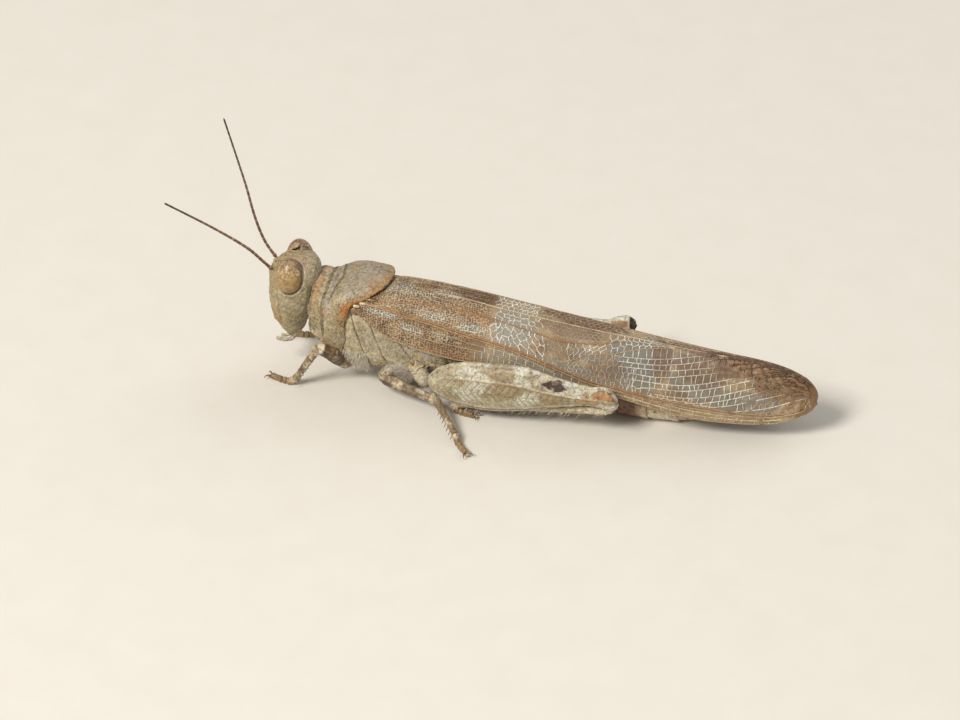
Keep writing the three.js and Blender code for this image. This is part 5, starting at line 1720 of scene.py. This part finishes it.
class ThighPlaces:
    """The bare skin of a jumping thigh, and where each point lies on it. t runs from hip to knee, and h
    from -1 at the lower edge to 1 at the upper one. outer and inner say on which face a point is."""

    def __init__(self, name, side):
        start, knee = at(side, THIGH_START), at(side, HIND_KNEES[name])
        size = lambda t: thigh_ribs(t)[::-1]
        self.grid, self.t, self.angle = limb([start, knee], size, along=300, around=132, square=THIGH_SQUARE,
                                             hint=(0, side * -0.16, 1))
        t, sine = self.t, np.sin(self.angle)
        self.h = h = np.sign(sine) * abs(sine) ** (2 / THIGH_SQUARE)
        if side < 0:
            arched = 0.38 * window(t, 0.3, 0.55, 0.93, 1.0)
        else:
            arched = 0.16 * hump(t, 0.93, 0.05) - 0.12 * window(t, 0.3, 0.55, 0.84, 0.9)
        self.grid[..., 2] += arched * np.maximum(h, 0) - 0.1 * np.minimum(h, 0)
        self.outer = soft_step(np.cos(self.angle) * -side, 0.02, 0.3)
        self.inner = 1 - self.outer
        self.inner_knee = soft_step(np.cos(self.angle) * side, -0.3, 0.0) * window(t, 0.84, 0.87, 0.96, 0.97)
        self.muscle = window(t, 0.03, 0.09, 0.76, 0.86)
        self.keel = mix(0.42, 0.15, soft_step(t, 0.3, 0.85))
        self.middle = mix(-0.08, -0.2, soft_step(t, 0.1, 0.7))
        above_low = soft_step(h, LOW_KEEL + 0.02, LOW_KEEL + 0.1)
        self.panel = self.outer * self.muscle * above_low * soft_step(h, self.keel - 0.03, self.keel - 0.1)
        slant = t * np.linalg.norm(knee - start) - 0.8 * abs(h - self.middle) * thigh_ribs(t)[0]
        self.rib = 0.5 + 0.5 * np.cos(slant / HERRINGBONE_MM * 2 * math.pi)
        self.ragged = 0.05 * grain(self.grid, 0.5, 92) + 0.02 * grain(self.grid, 0.16, 93)

    def patch(self, t, h, half_t, half_h, lean=0.0):
        """A ragged patch of colour about (t, h)."""
        away = ((self.t - t - lean * (self.h - h) + self.ragged) / half_t) ** 2
        return soft_step(away + ((self.h - h + 2 * self.ragged) / half_h) ** 2, 1.6, 0.3)


print("herringbone ridges every", HERRINGBONE_MM, "mm")


# %% Jumping thigh: keels, herringbone and knee
def thigh_relief(p):
    t, h = p.t, p.h
    height = 0.055 * hump(h, p.keel, 0.035) * soft_step(t, 0.05, 0.12) + 0.06 * hump(h, LOW_KEEL, 0.035)
    height += 0.04 * hump(h, 1, 0.03) + 0.05 * hump(h, -0.97, 0.04) - 0.05 * hump(h, -0.88, 0.035) * p.muscle
    height += p.panel * (0.025 * p.rib - 0.04 - 0.03 * hump(h, p.middle, 0.03))
    height += 0.012 * grain(p.grid, 0.3, 90) * (1 - p.panel)
    knee = 0.05 * hump(t, 0.955, 0.02) - 0.06 * hump(t, 0.915, 0.012)
    return height + p.outer * (knee + 0.04 * soft_step(t, 0.885, 0.91) * soft_step(-h, 0.0, 0.4))


def thigh_colours(p):
    """The slanting patches of the muscle's field and of the strip above it."""
    t, h = p.t, p.h
    above = soft_step(h, p.keel, p.keel + 0.04)
    inside = 1 - above
    tan = above * np.maximum(p.patch(0.38, 0.8, 0.085, 0.5), 0.35 * p.patch(0.14, 0.7, 0.09, 0.4))
    tan += 0.85 * inside * (p.patch(0.4, 0.1, 0.1, 0.5, 0.08) + p.patch(0.66, -0.3, 0.09, 0.7, 0.06))
    tan += 0.35 * inside * p.patch(0.12, -0.1, 0.07, 0.6) + 0.6 * soft_step(t, 0.74, 0.86) * inside
    tan += 0.7 * above * p.patch(0.57, 0.75, 0.03, 0.4)
    spot_away = ((t - 0.68 - 0.05 * (h - 0.66) + 0.3 * p.ragged) / 0.064) ** 2
    spot_away = spot_away + ((h - 0.66 + 2.2 * p.ragged) / 0.23) ** 2
    spot = soft_step(spot_away, 1.4, 0.5) * soft_step(h, p.keel - 0.08, p.keel + 0.02)
    # painted shade: the valleys between the herringbone ridges, the midline, the groove by the lower keel and
    # the step under the upper keel are darkened
    valley_shade = p.panel * soft_step(p.rib, 0.07, 0.0)
    dark = 2.0 * spot * (0.75 + 0.5 * grain(p.grid * [0.4, 1, 1], 0.12, 96)) + 0.6 * valley_shade
    dark += 0.35 * hump(h, p.middle, 0.012) * p.panel + 0.85 * hump(h, -0.88, 0.03) * p.muscle
    dark += 0.5 * hump(h, p.keel - 0.03, 0.012) * window(t, 0.3, 0.5, 0.74, 0.8)
    warm = 0.75 * hump(h, p.keel - 0.045, 0.022) * soft_step(t, 0.1, 0.35)
    warm += 0.45 * hump(h, LOW_KEEL + 0.05, 0.03) + 0.45 * p.patch(0.83, 0.1, 0.06, 0.5)
    pale = 0.8 * above * (p.patch(0.24, 0.75, 0.06, 0.4) + p.patch(0.5, 0.7, 0.06, 0.5))
    pale += 0.8 * above * p.patch(0.76, 0.5, 0.05, 0.5)
    pale += 0.8 * inside * (p.patch(0.26, 0.0, 0.07, 0.7, 0.1) + p.patch(0.53, -0.35, 0.07, 0.45, 0.08))
    pale += 0.9 * hump(h, -0.8, 0.04) + 0.9 * hump(h, -0.98, 0.04) + 0.4 * soft_step(h, 0.9, 1.0)
    pale = pale * (1 - valley_shade) + 0.7 * p.patch(0.78, 0.6, 0.04, 0.5)
    dots = clouds(p.grid, 0.16, 95, 0.5, 0.7) * (0.15 + 0.4 * above) * (0.3 + 0.7 * p.outer)
    return {"tan": tan, "dark": dark, "warm": warm, "pale": pale}, dots


def knee_colours(p, masks):
    """A rusty crescent over a pale lobe outside. Inside, rust below a cream ring and a dark end."""
    t, h = p.t, p.h
    zone = soft_step(t, 0.86, 0.875)
    arch = 0.35 + 0.52 * np.sqrt(np.clip(1 - ((t - 0.93) / 0.065) ** 2, 0, 1))
    masks["warm"] += zone * soft_step(h, 0.22, 0.32) * soft_step(h, arch + 0.04, arch - 0.04) * p.outer
    masks["warm"] += 0.95 * p.inner_knee * soft_step(h, 0.88, 0.74)
    masks["dark"] += p.outer * zone * (0.75 * hump(h, arch, 0.035) + 0.35 * hump(h, 0.2, 0.02))
    masks["dark"] += 1.4 * soft_step(t, 0.974, 0.979) * p.inner
    masks["dark"] *= 1 - p.inner * window(t, 0.84, 0.88, 0.96, 0.974)
    lobe = soft_step(t, 0.885, 0.91) * p.outer
    # the pale lobe is the knee's own colour, laid on past full strength as painted light where the lobe lies
    # in shade
    masks["pale"] += 1.2 * lobe * soft_step(-h, 0.1, 0.4) + 0.8 * hump(t, 0.99, 0.008) * p.outer
    masks["pale"] += p.inner * (1.2 * hump(t, 0.968, 0.005) + 0.9 * window(t, 0.84, 0.88, 0.96, 0.97))


# pale may pass 1, which keeps the knee lobe fully pale in its shade: painted light over its own pale colour
STRONGEST = {"tan": 1, "dark": 2, "warm": 1, "pale": 1.3}
for name, side in SIDES:
    places = ThighPlaces(name, side)
    masks, dots = thigh_colours(places)
    knee_colours(places, masks)
    masks["dark"] = masks["dark"] + dots
    masks = {mask: np.clip(value, 0, STRONGEST[mask]) for mask, value in masks.items()}
    skin = tube(raised(places.grid, thigh_relief(places)), **masks)
    make(f"jumping_thigh_{name}", skin, thigh, "jumping_thigh", f"femur_hind_{name}")
print("jumping thigh faces:", made[-1][1])

# %% [markdown]
# ## Hind hips, shins and feet
# The hind shin is folded under the thigh, and its upper end bends back into the knee, where it turns.
# It carries two rows of strong spines, black at the tip, and a fringe of long white hairs. The shin
# reuses the walking leg's function with longer spines, and the bend is a short limb of its own, because
# one straight tube could not reach round the corner. The hairs are the same cones as the spines, only
# longer and thinner.

# %% Hair and the fringe of a hind shin
# Hair is a solid bristle of clear chitin: nearly white, with the light caught in its tip.
hair = cuticle(
    "translucent_bristle_chitin", "D8D0BE", "C4BAA4", [("tip", "E6E0D2", 0.5), ("dark", "3A2A1E", 0.95)],
    pits=0.0, grain_mm=0.05, rough=0.4,
)
FRINGE_HAIRS = 170
FRINGE_END = 0.62  # share of the shin's length
dice = random.Random(7)


def shin_hairs(start, end, side):
    """Long fine hairs on the lower side of a shin."""
    shares = np.array([dice.uniform(0.0, FRINGE_END) for _ in range(FRINGE_HAIRS)])[:, None]
    spread = np.array([dice.uniform(-1, 1) for _ in range(FRINGE_HAIRS)])[:, None]
    lengths = np.array([dice.uniform(0.45, 0.8) for _ in range(FRINGE_HAIRS)])
    way = unit(end - start)
    across = level_across(way) * side
    roots = start + (end - start) * shares - across * spread * 0.12 - [0, 0, 0.1]
    ways = way * 0.35 - across * (0.55 + 0.5 * spread) - [0, 0, 0.75]
    room = np.maximum(roots[:, 2] / 0.8, 0.1)
    return needles(roots, ways, np.minimum(lengths, room), 0.02, bend=way * 0.12, sections=5)


print("hairs on a hind shin:", FRINGE_HAIRS)


# %% Build the hind legs
def knee_bend(knee, top, way, side, seed):
    """The upper end of the hind shin, which turns into the knee."""
    def size(t):
        shut = closing(mix(0.1, 0.9, t), 0.15)
        return 0.2 * shut, 0.24 * shut

    # Known fault: this first point is not mirrored, so the left bend starts below the right knee and runs
    # across the body under the wings. side * (knee[1] - 0.12) would put it in the left knee.
    path = [[knee[0] - 0.34, knee[1] - side * 0.12, knee[2] - 0.15], top + [0.22, side * 0.08, 0.14],
            top + [0.02, 0, 0], top + way * 0.7]
    grid, t, _ = limb(path, size, along=60, around=40)
    grid = raised(grid, 0.012 * grain(grid, 0.25, seed) - 0.04 * hump(t, 0.3, 0.03))
    return tube(grid, pale=0.85, warm=0.5 * hump(t, 0.2, 0.1), dark=0.6 * hump(t, 0.3, 0.02))


def hind_leg(name, side, seed):
    knee = HIND_KNEES[name]
    top, ankle = at(side, [knee[0] - 0.65, 3.05, knee[2] - 0.78]), at(side, [11.3, 2.75, 0.52])
    hip_path = [at(side, joint) for joint in ([8.6, 1.1, 2.9], [9.15, 1.9, 1.9], [9.9, 2.5, 1.35])]
    make(f"hip_hind_{name}", hip_piece(hip_path, 0.58, 0.4, seed), side_plates, "leg", f"coxa_hind_{name}")
    shin = shin_piece(top, ankle, 0.3, seed + 1, spines=10, spine=0.42, bands=1.2)
    shin.masks["pale"] = np.clip(shin.masks["pale"] + 0.7, 0, 1)
    shin.masks["dark"] *= 0.7
    shin = joined(shin, knee_bend(knee, top, unit(ankle - top), side, seed))
    make(f"shin_hind_{name}", shin, shin_and_hip, "leg", f"tibia_hind_{name}")
    foot = foot_piece(ankle, at(side, [12.6, 3.15, 0.2]), 0.27)
    make(f"foot_hind_{name}", foot, shin_and_hip, "leg", f"tarsus_hind_{name}")
    make(f"shin_fringe_{name}", shin_hairs(top, ankle, side), hair, "leg")


for k, (name, side) in enumerate(SIDES):
    hind_leg(name, side, 100 + 5 * k)
print("fringe faces:", made[-1][1])

# %% [markdown]
# ## Fine hair of the breast
# Short grey hairs cover the breast between the saddle and the hips and blur its lower edge. The same
# needles as on the shins make them, rooted at random on the ribs of the thorax, so that no hair starts
# in the air.

# %% Breast hair
BREAST_HAIRS = 1100
LOWEST_ROOT, HIGHEST_ROOT = 0.95, 2.7


def breast_hair(side):
    roots, ways, lengths = [], [], []
    for _ in range(BREAST_HAIRS):
        x, z = dice.uniform(4.5, 6.2), dice.uniform(LOWEST_ROOT, HIGHEST_ROOT)
        ribs = chest_ribs(x) if x > 4.6 else fore_ribs(x)
        centre, half_width, half_height = (float(v) for v in ribs)
        high = (z - centre) / half_height
        if abs(high) > 0.98:
            continue
        out = half_width * (1 - abs(high) ** 2.5) ** (1 / 2.5) * (1 - 0.14 * max(0, -high) ** 2)
        roots.append([x, side * (out - 0.03), z])
        ways.append([dice.uniform(-0.9, 0.4), side * dice.uniform(0.4, 1.0), dice.uniform(-1.4, -0.1)])
        shorter = mix(0.75, 0.35, (z - LOWEST_ROOT) / (HIGHEST_ROOT - LOWEST_ROOT))
        lengths.append(dice.uniform(0.6, 1.0) * shorter)
    return needles(roots, ways, lengths, 0.018, bend=(0, 0, -0.08))


for name, side in SIDES:
    make(f"breast_hair_{name}", breast_hair(side), hair, "pleura")
print("breast hair faces:", made[-1][1])

# %% [markdown]
# ## Floor, light and camera
# A museum photographer would lay the model on a pale sweep under one large soft lamp from behind and
# above, with a dimmer one opposite to open the shadows. Sky images could light it too, but two lamps
# and a plain world give the same soft light with nothing to load. The camera stands far away with a
# long lens, so that the small animal shows without distortion.

# %% Floor
SWEEP_HALF, CUT_CORNER = 0.6, 0.02


def floor_sheet():
    """A flat card with cut corners, in uncoated paper: matt and faintly clouded by its pulp."""
    sheet = bpy.data.meshes.new("sweep")
    whole, cut = SWEEP_HALF, SWEEP_HALF - CUT_CORNER
    corners = [(-whole, -cut, 0), (-cut, -whole, 0), (cut, -whole, 0), (whole, -cut, 0),
               (whole, cut, 0), (cut, whole, 0), (-cut, whole, 0), (-whole, cut, 0)]
    sheet.from_pydata(corners, [], [tuple(range(len(corners)))])
    card, tree, place = blank("uncoated_card")
    felt = add(tree, "TexNoise", {"Vector": place, "Scale": per(2.5), "Detail": 4.0}).outputs["Fac"]
    shade = add(tree, "Mix", {0: felt, 6: tone("E6E4DF"), 7: tone("E0DDD7")}, data_type="RGBA").outputs[2]
    tree.links.new(shade, tree.nodes["Principled BSDF"].inputs["Base Color"])
    tree.nodes["Principled BSDF"].inputs["Roughness"].default_value = 0.9
    sheet.materials.append(card)
    floor = bpy.data.objects.new("sweep", sheet)
    bpy.context.scene.collection.objects.link(floor)


floor_sheet()
print("the floor is", 2 * SWEEP_HALF, "m wide")


# %% Light
def lamp(name, place, size, power, colour):
    """A square soft lamp that looks at the middle of the model."""
    data = bpy.data.lights.new(name, "AREA")
    data.size, data.energy, data.color = size, power, colour
    body = bpy.data.objects.new(name, data)
    body.location = Vector(place)
    body.rotation_euler = (-Vector(place)).to_track_quat("-Z", "Y").to_euler()
    bpy.context.scene.collection.objects.link(body)


lamp("key", (-0.15, -0.27, 0.31), 0.13, 1.7, (1.0, 0.94, 0.85))
lamp("fill", (0.2, 0.3, 0.25), 0.3, 0.45, (0.98, 0.97, 0.94))
world = bpy.data.worlds.new("studio_air")
world.use_nodes = True
air = world.node_tree.nodes["Background"]
air.inputs["Color"].default_value = tone("EEE8DE")
air.inputs["Strength"].default_value = 0.46
bpy.context.scene.world = world
bpy.context.scene.view_settings.view_transform = "Standard"
print("lamps:", len(bpy.data.lights))

# %% Camera
AIM = [12.26, 0.0, 1.8]  # in the animal's mm
AZIMUTH, ELEVATION = math.radians(14), math.radians(35)
SEEN_MM, LENS = 54.4, 200.0
camera_data = bpy.data.cameras.new("camera")
camera_data.lens = LENS
camera_data.clip_start, camera_data.clip_end = 0.01, 5.0
camera = bpy.data.objects.new("camera", camera_data)
level = math.cos(ELEVATION)
away = Vector((math.sin(AZIMUTH) * level, -math.cos(AZIMUTH) * level, math.sin(ELEVATION)))
distance = SEEN_MM * MM * LENS / camera_data.sensor_width
camera.location = Vector(to_frame(AIM)) + away * distance
camera.rotation_euler = (-away).to_track_quat("-Z", "Y").to_euler()
bpy.context.scene.collection.objects.link(camera)
bpy.context.scene.camera = camera
print("camera stands", round(distance, 3), "m away")

# %% Count the faces and finish
print("faces in all:", sum(count for _, count in made))
